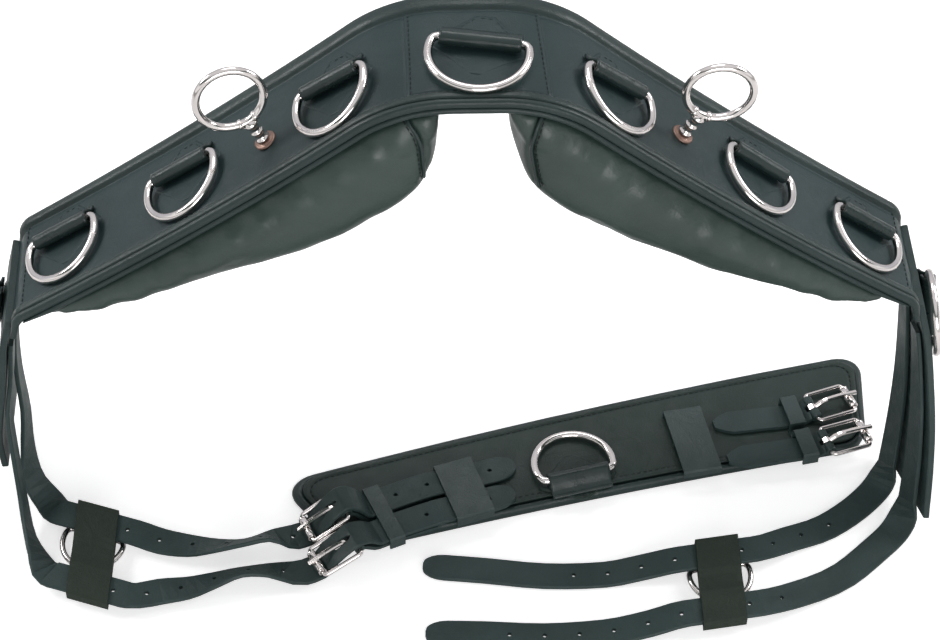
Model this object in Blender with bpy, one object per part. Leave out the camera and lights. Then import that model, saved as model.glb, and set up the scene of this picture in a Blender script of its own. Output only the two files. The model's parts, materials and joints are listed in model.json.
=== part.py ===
"""Lunging surcingle: a padded leather roller with ring fittings, billets and a buckled girth.

The padded body stands as an arch over the withers, its flaps hang at both sides, and the billets
and the girth lie on the ground in front. X runs across the arch, Y away from the viewer, Z up.
The origin is on the ground, under the middle of the whole layout.
"""
import math

import bmesh
import bpy
import numpy as np
from mathutils import Matrix, Vector

for leftover in list(bpy.data.objects):
    bpy.data.objects.remove(leftover)

# Fits
GAP = 0.0003                 # air between neighbouring solids
RUNNING_FIT = 0.0004         # radial air round a bar that turns
SLOT_PLAY = 0.0016           # side play of a strap in a keeper

# Arch of the body, measured on its outer leather face
APEX_HEIGHT = 0.385
CROWN_FLAT = 0.015           # half length of the level crown
CROWN_RADIUS = 0.100
CROWN_TURN = math.radians(40.5)
LEG_LENGTH = 0.290
LEG_TURN = math.radians(-6.0)
SHOULDER_RADIUS = 0.018
SHOULDER_TURN = math.radians(41.0)
TAB_LENGTH = 0.012           # end of the body under the flap

# Body layers
BODY_WIDTH = 0.106
BODY_END_WIDTH = 0.098
BINDING_WIDTH = 0.009
BINDING_RISE = 0.0016
BAND_THICKNESS = 0.0034
LINING_THICKNESS = 0.0050
PAD_WIDTH = 0.100
PAD_INNER_END = 0.0285        # along the arch from the crown, at the top of the pad
PAD_OUTER_END = 0.364
PAD_RAKE = {"left": 0.0155, "right": 0.0250}             # the inner end leans outwards by this much
PAD_GULLET_REACH = {"left": 0.0055, "right": 0.0085}     # its top reaches towards the crown by this much
PAD_SWELL = {"left": -0.0015, "right": 0.0015}
PAD_STUFFING = {             # extra depth by distance along the arch
    "left": ((0.0285, 0.0040), (0.050, 0.0050), (0.145, 0.0050), (0.185, 0.0042), (0.235, 0.0016),
             (0.265, 0.0)),
    "right": ((0.205, 0.0), (0.235, 0.0030), (0.262, 0.0022), (0.300, 0.0030), (0.330, 0.0044),
              (0.364, 0.0015)),
}
PAD_DEPTHS = (               # depth by distance along the arch from the crown
    (0.0285, 0.0280), (0.037, 0.0370), (0.048, 0.0450), (0.062, 0.0505), (0.080, 0.0560), (0.100, 0.0605),
    (0.120, 0.0620), (0.150, 0.0610), (0.180, 0.0575), (0.210, 0.0515), (0.240, 0.0445), (0.270, 0.0365),
    (0.300, 0.0270), (0.325, 0.0190), (0.345, 0.0120), (0.364, 0.0050))

# Side flaps
FLAP_WIDTH = 0.079
FLAP_THICKNESS = 0.0050
FLAP_TOP = 0.006             # below the shoulder bend, along the body
FLAP_LIFT = 3 * GAP          # air between the flap and the body's end
FLAP_ROUTE = {               # out from the fold, and share of the fold's height
    "left": ((0.01135, 0.8015), (0.01485, 0.6234), (0.01985, 0.4156), (0.02335, 0.2375), (0.02185, 0.0831)),
    "right": ((0.01035, 0.8015), (0.01285, 0.6234), (0.01385, 0.4453), (0.01235, 0.2672), (0.00885, 0.0950)),
}
FLAP_TOE = {"left": math.radians(1.0), "right": math.radians(13.0)}
FLAP_DROP = {"left": 0.0, "right": math.radians(7.0)}
FLAP_LEAN = {"left": 0.005, "right": 0.078}

# Straps
STRAP_WIDTH = 0.022
STRAP_THICKNESS = 0.0032
TIP_TAPER = 0.016
TIP_BLUNT = 0.16              # share of the width left at the very tip
TIP_SECTIONS = (1.0, 0.66, 0.38, 0.18, 0.06, 0.0)    # places of the tip's sections, as shares of the taper
HOLE_RADIUS = 0.0017
HOLE_PITCH = 0.025
HOLES_PER_STRAP = 9
HOLE_FROM_TIP = {"back": 0.110, "front": 0.060}      # first hole of the straps that lie open
FASTENED_HOLE_FROM_TIP = 0.020
FASTENED_HOLES = (0, 1, 2, 3, 7, 8, 9, 10, 11, 12)   # steps of the hole pitch, none in the keeper
BILLET_OFFSET = {"back": 0.0195, "front": -0.0195}   # from the middle of the flap
BILLET_FROM = 3              # first flap frame that a billet reaches up to
BILLET_EASE = 0.0022         # extra room at the bottom of the flap
BILLET_STAND = 4 * GAP       # air between a billet and its flap

# Rings on leather chapes
RING_WIRE = 0.0058
RING_BOW = 0.0295            # radius of the bow's centre line
RING_CHORD = 0.0115          # bar to bow centre
CENTRE_RING_BOW = 0.0330
CENTRE_RING_CHORD = 0.0112
KEEPER_RING_WIRE = 0.0040
KEEPER_RING_BOW = 0.0225
KEEPER_RING_CHORD = 0.0065
TUNNEL_WALL = 0.0014
RING_CORNER = 0.0045
CHAPE_LEATHER = 0.0019
CHAPE_POINT = 0.026          # bar to the point of the sewn patch
CHAPE_CLEAR = 0.0018         # roll end to the ring
BODY_RINGS = {               # distance along, across and skew of each bar, from the crown out
    "left": ((0.0980, 0.0010, -6.0), (0.2310, 0.0058, -2.0), (0.3390, 0.0090, -1.0)),
    "right": ((0.1030, 0.0010, 6.0), (0.2370, 0.0052, -2.0), (0.3390, 0.0050, -2.0)),
}
CENTRE_RING_PLACE = (0.0050, 0.0005, -10.0)
FLAP_RING_AT = 0.19          # share of the flap's length
PATCH_LIFT = GAP + 0.00015   # the legs are very slightly hollow

# Terrets
TERRET_PLACE = {"left": (0.1600, -0.0103), "right": (0.1670, -0.0063)}
TERRET_UPRIGHT = math.radians(9.0)
TERRET_WIRE = 0.0056
TERRET_RADIUS = 0.0228
TERRET_FOOT_RADIUS = 0.0080
TERRET_FOOT_HEIGHT = 0.0028
TERRET_PIN_RADIUS = 0.0022
TERRET_PIN_HEIGHT = 0.0185
TERRET_SOCKET_WALL = 0.0016
TERRET_TURN = {"left": math.radians(14.0), "right": 0.0}

# Girth, in its own frame: out along it from the middle, across towards the back
GIRTH_SPAN = 0.4407
GIRTH_ENDS = (-0.2050, 0.2300)
GIRTH_SLANTS = (-0.55, 0.28)  # the ends lean out towards the back
GIRTH_SLANT_FROM = 0.150
GIRTH_EDGES = (-0.0380, 0.0430)
GIRTH_FLARE = (-0.016, 0.018)   # the right end is a little wider than the left
GIRTH_MIDDLE = (0.0862, -0.0455)
GIRTH_HEADING = math.radians(13.52)
GIRTH_SAG = 0.005
GIRTH_CORNER = 0.020
GIRTH_PAD_THICKNESS = 0.0078
GIRTH_FACING_THICKNESS = 0.0022
GIRTH_FACING_INSET = 0.0060
GIRTH_RING_OUT = -0.0070
GIRTH_RING_ACROSS = -0.0240

# Buckles
BUCKLE_WIRE = 0.0034
BUCKLE_INSIDE = 0.0226
BUCKLE_LENGTH = 0.0315       # heel bar to roller, centre to centre
BUCKLE_CORNER = 0.0030
BUCKLE_AT = {"left": 0.1850, "right": 0.1855}    # heel bar, out from the girth's middle
ROLLER_WALL = 0.0012
TONGUE_THICKNESS = 0.0030
TONGUE_WIDTH = 0.0044
TONGUE_EYE_WALL = 0.0017
TONGUE_SLOT_ROOM = 0.0016    # slot in the strap, past its rolled eye
TONGUE_CROSSING = (0.0085, 0.0, 0.0036)              # through the strap, in the buckle's placement
TONGUE_SLOT_LENGTH = 0.0170
EYE_LAND = 0.0009            # strap's end to the heel bar's eye
CHAPE_STRAP_WIDTH = 0.0200
CHAPE_STRAP_THICKNESS = 0.0030
CHAPE_START = 0.1080
STRAP_LINES = {              # how far across each strap lies, by distance out from the girth's middle
    ("left", "back"): (
        (0.040, 0.0010), (0.087, -0.0015), (0.125, -0.0040), (0.150, -0.0070), (0.168, -0.0092),
        (0.187, -0.0098), (0.212, -0.0140)),
    ("left", "front"): (
        (0.040, -0.0235), (0.087, -0.0268), (0.125, -0.0300), (0.150, -0.0325), (0.168, -0.0352),
        (0.187, -0.0392), (0.214, -0.0435)),
    ("right", "back"): (
        (0.040, 0.0020), (0.087, 0.0000), (0.125, -0.0020), (0.150, -0.0045), (0.172, -0.0060),
        (0.187, -0.0040), (0.218, 0.0005)),
    ("right", "front"): (
        (0.040, -0.0330), (0.087, -0.0345), (0.125, -0.0360), (0.150, -0.0375), (0.172, -0.0385),
        (0.187, -0.0375), (0.218, -0.0335)),
}
FASTENED_TILT = {"back": math.radians(27.0), "front": math.radians(16.0)}
FASTENED_ROLLER_HEIGHT = 0.0125
FASTENED_TIP = {"back": 0.049, "front": 0.057}

# Keeper loops on the girth and sliding keepers on the billets
LOOP_LEATHER = 0.0016
SMALL_LOOP_AT = {"left": 0.1570, "right": 0.1685}
SMALL_LOOP_LENGTH = 0.0120
LOOP_MARGIN = {"left": 0.0040, "right": 0.0020}     # level stretch of the strap past the loop
WIDE_LOOP_AT = {"left": 0.0935, "right": 0.0865}
WIDE_LOOP_LENGTH = 0.029
WIDE_LOOP_LINES = {"left": (-0.0146, 0.0128), "right": (-0.0130, 0.0150)}    # middle across and half pitch
KEEPER_LENGTH = 0.032
KEEPER_SLOT_PLAY = 0.0030
KEEPER_LIFT = 0.0066         # ground to the sleeve's underside
KEEPER_PITCH = {"left": 0.056, "right": 0.048}
KEEPER_MIDDLE = {"left": (-0.2725, -0.1235), "right": (0.1805, -0.1610)}
KEEPER_HEADING = {"left": math.radians(-20.0), "right": math.radians(8.0)}
KEEPER_CROSSING = {"left": math.radians(87.0), "right": math.radians(89.0)}
KEEPER_TRAVEL = 0.005         # slide either way on the straight stretch of the straps
KEEPER_RUN_OUT = 0.0045       # straight strap beyond the stretch that a keeper sweeps
KEEPER_PLAY = 5 * GAP         # room over and under a strap in a keeper, together

# Layout
FOOTPRINT_SHIFT = (0.0009, 0.0790)
FLOOR_STRAP = STRAP_THICKNESS / 2 + GAP
SIDES = {"left": -1.0, "right": 1.0}

root = bpy.data.objects.new("surcingle", None)
bpy.context.scene.collection.objects.link(root)
root.location = (*FOOTPRINT_SHIFT, 0.0)

FINISHES = {
    "leather": ((0.045, 0.055, 0.055), 0.45, 0.0),
    "soft_leather": ((0.040, 0.048, 0.044), 0.55, 0.0),
    "keeper_leather": ((0.028, 0.034, 0.028), 0.60, 0.0),
    "nickel": ((0.78, 0.76, 0.74), 0.16, 1.0),
}


def finish(obj, kind):
    """Give the object its own material and hang it on the root."""
    colour, roughness, metallic = FINISHES[kind]
    material = bpy.data.materials.new(obj.name)
    material.use_nodes = True
    shader = material.node_tree.nodes["Principled BSDF"]
    shader.inputs["Base Color"].default_value = (*colour, 1.0)
    shader.inputs["Roughness"].default_value = roughness
    shader.inputs["Metallic"].default_value = metallic
    obj.data.materials.append(material)
    if obj.parent is None:
        obj.parent = root
    return obj


def skin(name, rings, closed=False, local=None):
    """Join rings of points into one closed solid; local places the origin of the object."""
    mesh = bpy.data.meshes.new(name)
    builder = bmesh.new()
    back = local.inverted() if local else Matrix.Identity(4)
    loops = [[builder.verts.new(back @ Vector(p)) for p in ring] for ring in rings]
    pairs = list(zip(loops, loops[1:]))
    if closed:
        pairs.append((loops[-1], loops[0]))
    else:
        builder.faces.new(loops[0])
        builder.faces.new(loops[-1])
    for one, two in pairs:
        count = len(one)
        for k in range(count):
            builder.faces.new((one[k], one[(k + 1) % count], two[(k + 1) % count], two[k]))
    bmesh.ops.recalc_face_normals(builder, faces=builder.faces)
    builder.to_mesh(mesh)
    builder.free()
    obj = bpy.data.objects.new(name, mesh)
    bpy.context.scene.collection.objects.link(obj)
    if local:
        obj.matrix_world = local
    return obj


def smooth(obj, angle=40.0):
    obj.data.shade_smooth()
    obj.data.set_sharp_from_angle(angle=math.radians(angle))
    return obj


def frame_matrix(origin, x_axis, y_axis):
    """Placement with the given X axis and a Y axis in the plane of the second vector."""
    x = Vector(x_axis).normalized()
    z = x.cross(Vector(y_axis)).normalized()
    y = z.cross(x)
    matrix = Matrix((x, y, z)).transposed().to_4x4()
    matrix.translation = origin
    return matrix


def circle(radius, sides, start=0.0):
    steps = [start + 2 * math.pi * k / sides for k in range(sides)]
    return [(radius * math.cos(a), radius * math.sin(a)) for a in steps]


def sweep(name, path, section, closed=False, local=None):
    """Carry a section along a path of (point, across, up)."""
    rings = [[point + across * a + up * b for a, b in section] for point, across, up in path]
    return skin(name, rings, closed, local)


def wire_loop(name, points, normal, wire, sides=8, local=None):
    """Closed wire through points that lie in one plane."""
    count = len(points)
    path = []
    for k in range(count):
        along = (points[(k + 1) % count] - points[k - 1]).normalized()
        path.append((points[k], normal.cross(along).normalized(), normal))
    return smooth(sweep(name, path, circle(wire / 2, sides, math.pi / sides), True, local))


def turned(name, profile, place, sides=16):
    """Solid turned about the Z axis of its placement; the profile runs from end to end."""
    rings = [[place @ Vector((x, y, height)) for x, y in circle(radius, sides)] for radius, height in profile]
    return smooth(skin(name, rings, False, place))


def tube(name, inner, outer, length, place, sides=16):
    """Open tube about the X axis of its placement."""
    rings = []
    for y, z in circle(1.0, sides):
        corners = ((-length / 2, inner), (length / 2, inner), (length / 2, outer), (-length / 2, outer))
        rings.append([place @ Vector((x, y * r, z * r)) for x, r in corners])
    return smooth(skin(name, rings, True, place))


def tube_core(name, radius, length, place, sides=16):
    rings = [[place @ Vector((x, y, z)) for y, z in circle(radius, sides)] for x in (-length / 2, length / 2)]
    return skin(name, rings)


def prism(name, outline, depth, place):
    """Outline in the X-Y plane of the placement, thick along its Z from zero to depth."""
    rings = [[place @ Vector((x, y, z)) for x, y in outline] for z in (0.0, depth)]
    return skin(name, rings, False, place)


def boolean(target, tool, operation):
    """Join or cut with another solid, which stays out of the model as a guide."""
    modifier = target.modifiers.new(operation.lower(), "BOOLEAN")
    modifier.operation = operation
    modifier.object = tool
    modifier.solver = "EXACT"
    tool.display_type = "WIRE"
    tool.hide_render = True
    tool.parent = root
    return target


def strip(width, thickness, edge=0.0008):
    """Section of a strap with eased edges."""
    w, t = width / 2, thickness / 2
    return [(-w, -t + edge), (-w + edge, -t), (w - edge, -t), (w, -t + edge),
            (w, t - edge), (w - edge, t), (-w + edge, t), (-w, t - edge)]


# Arch of the body

def arch(distance):
    """Point, tangent and outward normal of the outer face, in the X-Z plane, right side."""
    x, z, heading = 0.0, APEX_HEIGHT, 0.0
    left = distance
    spans = ((CROWN_FLAT, 0.0), (CROWN_RADIUS * CROWN_TURN, CROWN_TURN), (LEG_LENGTH, LEG_TURN),
             (SHOULDER_RADIUS * SHOULDER_TURN, SHOULDER_TURN), (TAB_LENGTH * 4, 0.0))
    for length, turn in spans:
        step = min(left, length)
        bend = turn * step / length
        if abs(bend) > 1e-9:
            radius = step / bend
            x += radius * (math.sin(heading + bend) - math.sin(heading))
            z += radius * (math.cos(heading + bend) - math.cos(heading))
        else:
            x += step * math.cos(heading)
            z -= step * math.sin(heading)
        heading += bend
        left -= step
        if left <= 0:
            break
    return x, z, heading


SHOULDER_AT = CROWN_FLAT + CROWN_RADIUS * CROWN_TURN + LEG_LENGTH
SHOULDER_END = SHOULDER_AT + SHOULDER_RADIUS * SHOULDER_TURN
BODY_END = SHOULDER_END + TAB_LENGTH


def arch_frame(side, distance, lift=0.0, across=0.0):
    """Point on the arch with the direction outwards along it, towards the back, and up off it."""
    x, z, heading = arch(distance)
    along = Vector((side * math.cos(heading), 0.0, -math.sin(heading)))
    up = Vector((side * math.sin(heading), 0.0, math.cos(heading)))
    point = Vector((side * x, 0.0, z)) + up * lift + Vector((0.0, across, 0.0))
    return point, along, up


def arch_stations(first, last, step=0.014):
    """Signed distances from one side to the other, closer in the crown and the shoulders."""
    marks = {0.0, CROWN_FLAT, SHOULDER_AT, SHOULDER_END, last}
    here = CROWN_FLAT
    while here < SHOULDER_AT:
        marks.add(round(here, 6))
        here += step if here < SHOULDER_AT - LEG_LENGTH else step * 2
    bend = SHOULDER_END - SHOULDER_AT
    marks.update(SHOULDER_AT + bend * k / 4 for k in range(1, 4))
    right = sorted(m for m in marks if m <= last)
    return [m for m in ([-r for r in reversed(right)] + right[1:]) if m >= first]


def body_width(distance):
    """The body narrows a little towards its ends."""
    share = min(1.0, abs(distance) / SHOULDER_AT)
    return BODY_WIDTH + (BODY_END_WIDTH - BODY_WIDTH) * share ** 2


def body_layer(name, section, last, kind):
    """One leather layer over the whole arch; the section gets half the width at each place."""
    rings = []
    back = Vector((0.0, 1.0, 0.0))
    for mark in arch_stations(-last, last):
        side = -1.0 if mark < 0 else 1.0
        point, along, up = arch_frame(side, abs(mark))
        rings.append([point + back * a + up * b for a, b in section(body_width(mark) / 2)])
    return finish(smooth(skin(name, rings), 30.0), kind)


def lining_section(half):
    top = -BAND_THICKNESS - GAP
    bottom = top - LINING_THICKNESS
    return (-half, bottom), (half, bottom), (half, top), (-half, top)


def band_section(half):
    """Band with a raised, eased border along both long edges."""
    ease = BINDING_WIDTH * 0.3
    inner = half - BINDING_WIDTH
    right = [(half, -BAND_THICKNESS), (half, BINDING_RISE - ease), (half - ease, BINDING_RISE),
             (inner + ease / 2, BINDING_RISE), (inner, 0.0)]
    return right + [(-a, b) for a, b in reversed(right)]


def build_body():
    body_layer("body_lining", lining_section, SHOULDER_AT, "soft_leather")
    body_layer("body_band", band_section, BODY_END, "leather")


def join_mesh(keep, extra):
    """Add the second solid to the first object as a separate body."""
    builder = bmesh.new()
    builder.from_mesh(keep.data)
    moved = extra.data.copy()
    moved.transform(keep.matrix_world.inverted() @ extra.matrix_world)
    builder.from_mesh(moved)
    builder.to_mesh(keep.data)
    builder.free()
    bpy.data.objects.remove(extra)
    return keep


def value_at(knots, at):
    """Smooth curve through knots of (place, value)."""
    last = len(knots) - 1
    k = max(0, min(last - 1, sum(1 for place, value in knots[1:-1] if place <= at)))
    slopes = []
    for i in (k, k + 1):
        low, high = knots[max(0, i - 1)], knots[min(last, i + 1)]
        slopes.append((high[1] - low[1]) / (high[0] - low[0]))
    (x0, y0), (x1, y1) = knots[k], knots[k + 1]
    span = x1 - x0
    t = (at - x0) / span
    if t < 0.0 or t > 1.0:
        return (y0 + slopes[0] * (at - x0)) if t < 0.0 else (y1 + slopes[1] * (at - x1))
    return (y0 * (1 + 2 * t) * (1 - t) ** 2 + slopes[0] * span * t * (1 - t) ** 2
            + y1 * t * t * (3 - 2 * t) + slopes[1] * span * t * t * (t - 1))


PAD_OUTLINE = ((-0.96, 0.0), (0.96, 0.0), (1.0, 0.12), (1.015, 0.50), (1.0, 0.89), (0.94, 0.98), (0.50, 1.0),
               (-0.50, 1.0), (-0.94, 0.98), (-1.0, 0.89), (-1.015, 0.50), (-1.0, 0.12))


def build_pad(side_name):
    """Stuffed panel under one leg of the arch, deep beside the gullet and thin at its outer end."""
    side = SIDES[side_name]
    top = -BAND_THICKNESS - GAP - LINING_THICKNESS - 2 * GAP
    rings = []
    for k, (distance, depth) in enumerate(PAD_DEPTHS):
        share = (distance - PAD_INNER_END) / (PAD_OUTER_END - PAD_INNER_END)
        near_gullet = max(0.0, 1.0 - share * 4) ** 2
        end = k in (0, len(PAD_DEPTHS) - 1)
        half = PAD_WIDTH / 2 * (0.93 if end else 1.0) * body_width(distance) / BODY_WIDTH
        deep = depth + PAD_SWELL[side_name] * 2 * share * (1 - share) * 2
        deep += float(np.interp(distance, *zip(*PAD_STUFFING[side_name])))
        outline = []
        for a, b in PAD_OUTLINE:
            reach = (PAD_RAKE[side_name] * b - PAD_GULLET_REACH[side_name]) * near_gullet
            point, along, up = arch_frame(side, distance + reach, top)
            outline.append(point + Vector((0.0, a * half, 0.0)) - up * b * deep)
        rings.append(outline)
    pad = smooth(skin(side_name + "_pad", rings), 50.0)
    return finish(pad, "soft_leather")


# Side flaps

def smooth_route(knots, steps, height_at=2):
    """Smooth curve through knots of any number of values, which never overshoots in height."""
    count = len(knots)
    gaps = [math.dist(a[:3], b[:3]) for a, b in zip(knots, knots[1:])]
    slopes = [[(q - p) / gap for p, q in zip(a, b)] for a, b, gap in zip(knots, knots[1:], gaps)]
    tangents = [slopes[0]]
    for k in range(1, count - 1):
        near, far = gaps[k - 1], gaps[k]
        values = [(far * p + near * q) / (near + far) for p, q in zip(slopes[k - 1], slopes[k])]
        if height_at < len(values):
            p, q = slopes[k - 1][height_at], slopes[k][height_at]
            limit = 2 * min(abs(p), abs(q)) if p * q > 0 else 0.0
            values[height_at] = max(-limit, min(limit, values[height_at]))
        tangents.append(values)
    tangents.append(slopes[-1])
    out = []
    for k, gap in enumerate(gaps):
        for s in range(steps):
            t = s / steps
            h0, h1 = (1 + 2 * t) * (1 - t) ** 2, t * t * (3 - 2 * t)
            g0, g1 = t * (1 - t) ** 2 * gap, t * t * (t - 1) * gap
            out.append([h0 * a + g0 * m + h1 * b + g1 * n
                        for a, m, b, n in zip(knots[k], tangents[k], knots[k + 1], tangents[k + 1])])
    out.append(list(knots[-1]))
    return out


def flap_frames(side_name):
    """Point, across, outward and along directions down the middle of the flap's thickness."""
    side = SIDES[side_name]
    fold_out, fold_height, heading = arch(SHOULDER_END + FLAP_TOP)
    point, along, up = arch_frame(side, SHOULDER_END + FLAP_TOP, FLAP_LIFT + FLAP_THICKNESS / 2)
    knots = [(abs(point.x), 0.0, point.z, 0.0, 0.0)]
    route = FLAP_ROUTE[side_name]
    for k, (out, rise) in enumerate(route):
        share = (k + 1) / len(route)
        knots.append((fold_out + out, -FLAP_LEAN[side_name] * share ** 1.3, fold_height * rise,
                      FLAP_TOE[side_name] * share, FLAP_DROP[side_name] * share))
    values = smooth_route(knots, 3)
    points = [Vector((side * x, y, z)) for x, y, z, toe, drop in values]
    frames = []
    for k, (x, y, z, toe, drop) in enumerate(values):
        before, after = points[max(0, k - 1)], points[min(len(points) - 1, k + 1)]
        along = (after - before).normalized()
        across = Vector((-side * math.sin(toe), math.cos(toe), -math.sin(drop))).normalized()
        outward = along.cross(across).normalized()
        if outward.x * side < 0:
            outward = -outward
        frames.append((points[k], across, outward, along))
    return frames


def build_flap(side_name):
    frames = flap_frames(side_name)
    path = [(point, across, outward) for point, across, outward, along in frames]
    flap = sweep(side_name + "_flap", path, strip(FLAP_WIDTH, FLAP_THICKNESS))
    return finish(smooth(flap, 30.0), "leather")


# Rings and their chapes

def ring_points(bow, chord, corner):
    """Outline of a half-round ring: a straight bar on the X axis and a bow towards -Y."""
    half = math.sqrt(bow * bow - chord * chord)
    start = math.atan2(chord, half)
    ease = corner / bow
    points = []
    first, last = start - ease, -math.pi - start + ease
    steps = 13
    for k in range(steps + 1):
        angle = first + (last - first) * k / steps
        points.append(Vector((bow * math.cos(angle), bow * math.sin(angle) - chord, 0.0)))
    left_bow, right_bow = points[-1], points[0]
    left_corner, right_corner = Vector((-half, 0.0, 0.0)), Vector((half, 0.0, 0.0))
    left_bar, right_bar = Vector((corner - half, 0.0, 0.0)), Vector((half - corner, 0.0, 0.0))
    points.append((left_bow + left_bar) / 4 + left_corner / 2)
    points.append(left_bar)
    points.append(right_bar)
    points.append((right_bow + right_bar) / 4 + right_corner / 2)
    return points, half


def bar_height(wire):
    """Leather face to the middle of a bar held in a chape."""
    roll = wire / 2 + RUNNING_FIT + CHAPE_LEATHER
    return GAP + CHAPE_LEATHER + roll - 0.0007


def build_ring(name, place, wire, bow, chord, rest_clearance):
    """Ring that swings on its bar; the placement has X along the bar, -Y to the bow and Z off the leather."""
    points, half = ring_points(bow, chord, RING_CORNER)
    drop = bar_height(wire) - wire / 2 - rest_clearance
    tilt = Matrix.Rotation(math.asin(drop / (bow + chord)), 4, "X")
    seat = place @ Matrix.Translation((0.0, 0.0, bar_height(wire))) @ tilt
    world = [seat @ p for p in points]
    ring = wire_loop(name, world, seat.to_3x3() @ Vector((0.0, 0.0, 1.0)), wire, 8, seat)
    return finish(ring, "nickel")


def build_chape(name, place, wire, bow, chord, points=(CHAPE_POINT, CHAPE_POINT)):
    """Leather rolled round the bar and sewn down as a pointed patch on both sides of it."""
    half = math.sqrt(bow * bow - chord * chord) - wire / 2 - CHAPE_CLEAR
    inner = wire / 2 + RUNNING_FIT
    shoulder = 0.006
    back, front = points
    outline = [(-half, -shoulder), (0.0, -front), (half, -shoulder),
               (half, shoulder), (0.0, back), (-half, shoulder)]
    patch = prism(name, outline, CHAPE_LEATHER, place @ Matrix.Translation((0.0, 0.0, PATCH_LIFT)))
    seat = place @ Matrix.Translation((0.0, 0.0, bar_height(wire)))
    roll = tube(name + "_roll_guide", inner, inner + CHAPE_LEATHER, 2 * half, seat, 16)
    boolean(patch, roll, "UNION")
    return finish(patch, "leather")


def body_ring_place(side, distance, across, skew=0.0):
    """Placement on the arch with X along the body and Y towards the back edge."""
    point, along, up = arch_frame(side, distance, 0.0, across)
    x_axis = along * side
    turn = Matrix.Rotation(skew, 3, up)
    return frame_matrix(point, turn @ x_axis, turn @ Vector((0.0, 1.0, 0.0)))


def ring_set(name, place, bow=RING_BOW, chord=RING_CHORD, points=(CHAPE_POINT, CHAPE_POINT), rest=2 * GAP):
    build_chape(name + "_chape", place, RING_WIRE, bow, chord, points)
    build_ring(name + "_ring", place, RING_WIRE, bow, chord, rest)


def build_body_rings():
    distance, across, skew = CENTRE_RING_PLACE
    ring_set("centre", body_ring_place(1.0, distance, across, math.radians(skew)), CENTRE_RING_BOW,
             CENTRE_RING_CHORD, (0.030, CHAPE_POINT), BINDING_RISE + 2 * GAP)
    for side_name, side in SIDES.items():
        for label, (distance, across, skew) in enumerate(BODY_RINGS[side_name], 1):
            ring_set(f"{side_name}_body_{label}", body_ring_place(side, distance, across, math.radians(skew)))
        frames = flap_frames(side_name)
        point, across, outward, along = frames[round(FLAP_RING_AT * (len(frames) - 1))]
        place = frame_matrix(point + outward * (FLAP_THICKNESS / 2 + GAP), along * side, across)
        ring_set(side_name + "_flap", place)


# Terrets

def build_terrets():
    for side_name, side in SIDES.items():
        distance, across = TERRET_PLACE[side_name]
        point, along, up = arch_frame(side, distance, 2 * GAP, across)
        back = Vector((0.0, 1.0, 0.0))
        flat = frame_matrix(point, along * side, back)
        place = flat @ Matrix.Rotation(-side * TERRET_UPRIGHT, 4, "Y")
        base_rings = [[flat @ Vector((x, y, 0.0)) for x, y in circle(TERRET_FOOT_RADIUS, 16)]]
        turnings = ((TERRET_FOOT_RADIUS * 0.90, TERRET_FOOT_HEIGHT), (TERRET_PIN_RADIUS, TERRET_FOOT_HEIGHT),
                    (TERRET_PIN_RADIUS, TERRET_PIN_HEIGHT))
        for radius, height in turnings:
            base_rings.append([place @ Vector((x, y, height)) for x, y in circle(radius, 16)])
        finish(smooth(skin(side_name + "_terret_base", base_rings, False, place)), "nickel")
        bore = TERRET_PIN_RADIUS + RUNNING_FIT
        wall = bore + TERRET_SOCKET_WALL
        mouth = TERRET_FOOT_HEIGHT + GAP
        ceiling = TERRET_PIN_HEIGHT + GAP
        top = ceiling + 0.0022
        socket = [(bore, ceiling), (bore, mouth), (wall, mouth), (wall * 1.06, mouth + 0.0015),
                  (wall, ceiling - 0.001), (TERRET_WIRE * 0.62, top)]
        turn = place @ Matrix.Rotation(TERRET_TURN[side_name], 4, "Z")
        ring = turned(side_name + "_terret_ring", socket, turn)
        middle = turn @ Vector((0.0, 0.0, top + TERRET_RADIUS + TERRET_WIRE * 0.12))
        hoop = [middle + turn.to_3x3() @ Vector((x, 0.0, z)) for x, z in circle(TERRET_RADIUS, 24)]
        normal = turn.to_3x3() @ back
        guide = wire_loop(side_name + "_hoop_guide", hoop, normal, TERRET_WIRE)
        boolean(ring, guide, "UNION")
        finish(ring, "nickel")


# Girth

GIRTH_RADIUS = GIRTH_SPAN ** 2 / (8 * GIRTH_SAG)


def girth_frame(out, across=0.0, height=0.0):
    """Point on the girth's gentle curve with the directions along, across and up."""
    turn = -out / GIRTH_RADIUS
    heading = GIRTH_HEADING + turn
    base = GIRTH_RADIUS
    x = base * math.sin(-turn)
    y = base * math.cos(turn) - base + GIRTH_SAG
    cosine, sine = math.cos(GIRTH_HEADING), math.sin(GIRTH_HEADING)
    middle = Vector((GIRTH_MIDDLE[0] + x * cosine - y * sine, GIRTH_MIDDLE[1] + x * sine + y * cosine, 0.0))
    along = Vector((math.cos(heading), math.sin(heading), 0.0))
    side = Vector((-math.sin(heading), math.cos(heading), 0.0))
    return middle + side * across + Vector((0.0, 0.0, height)), along, side


GIRTH_TOP = GIRTH_PAD_THICKNESS + GAP + GIRTH_FACING_THICKNESS


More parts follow.
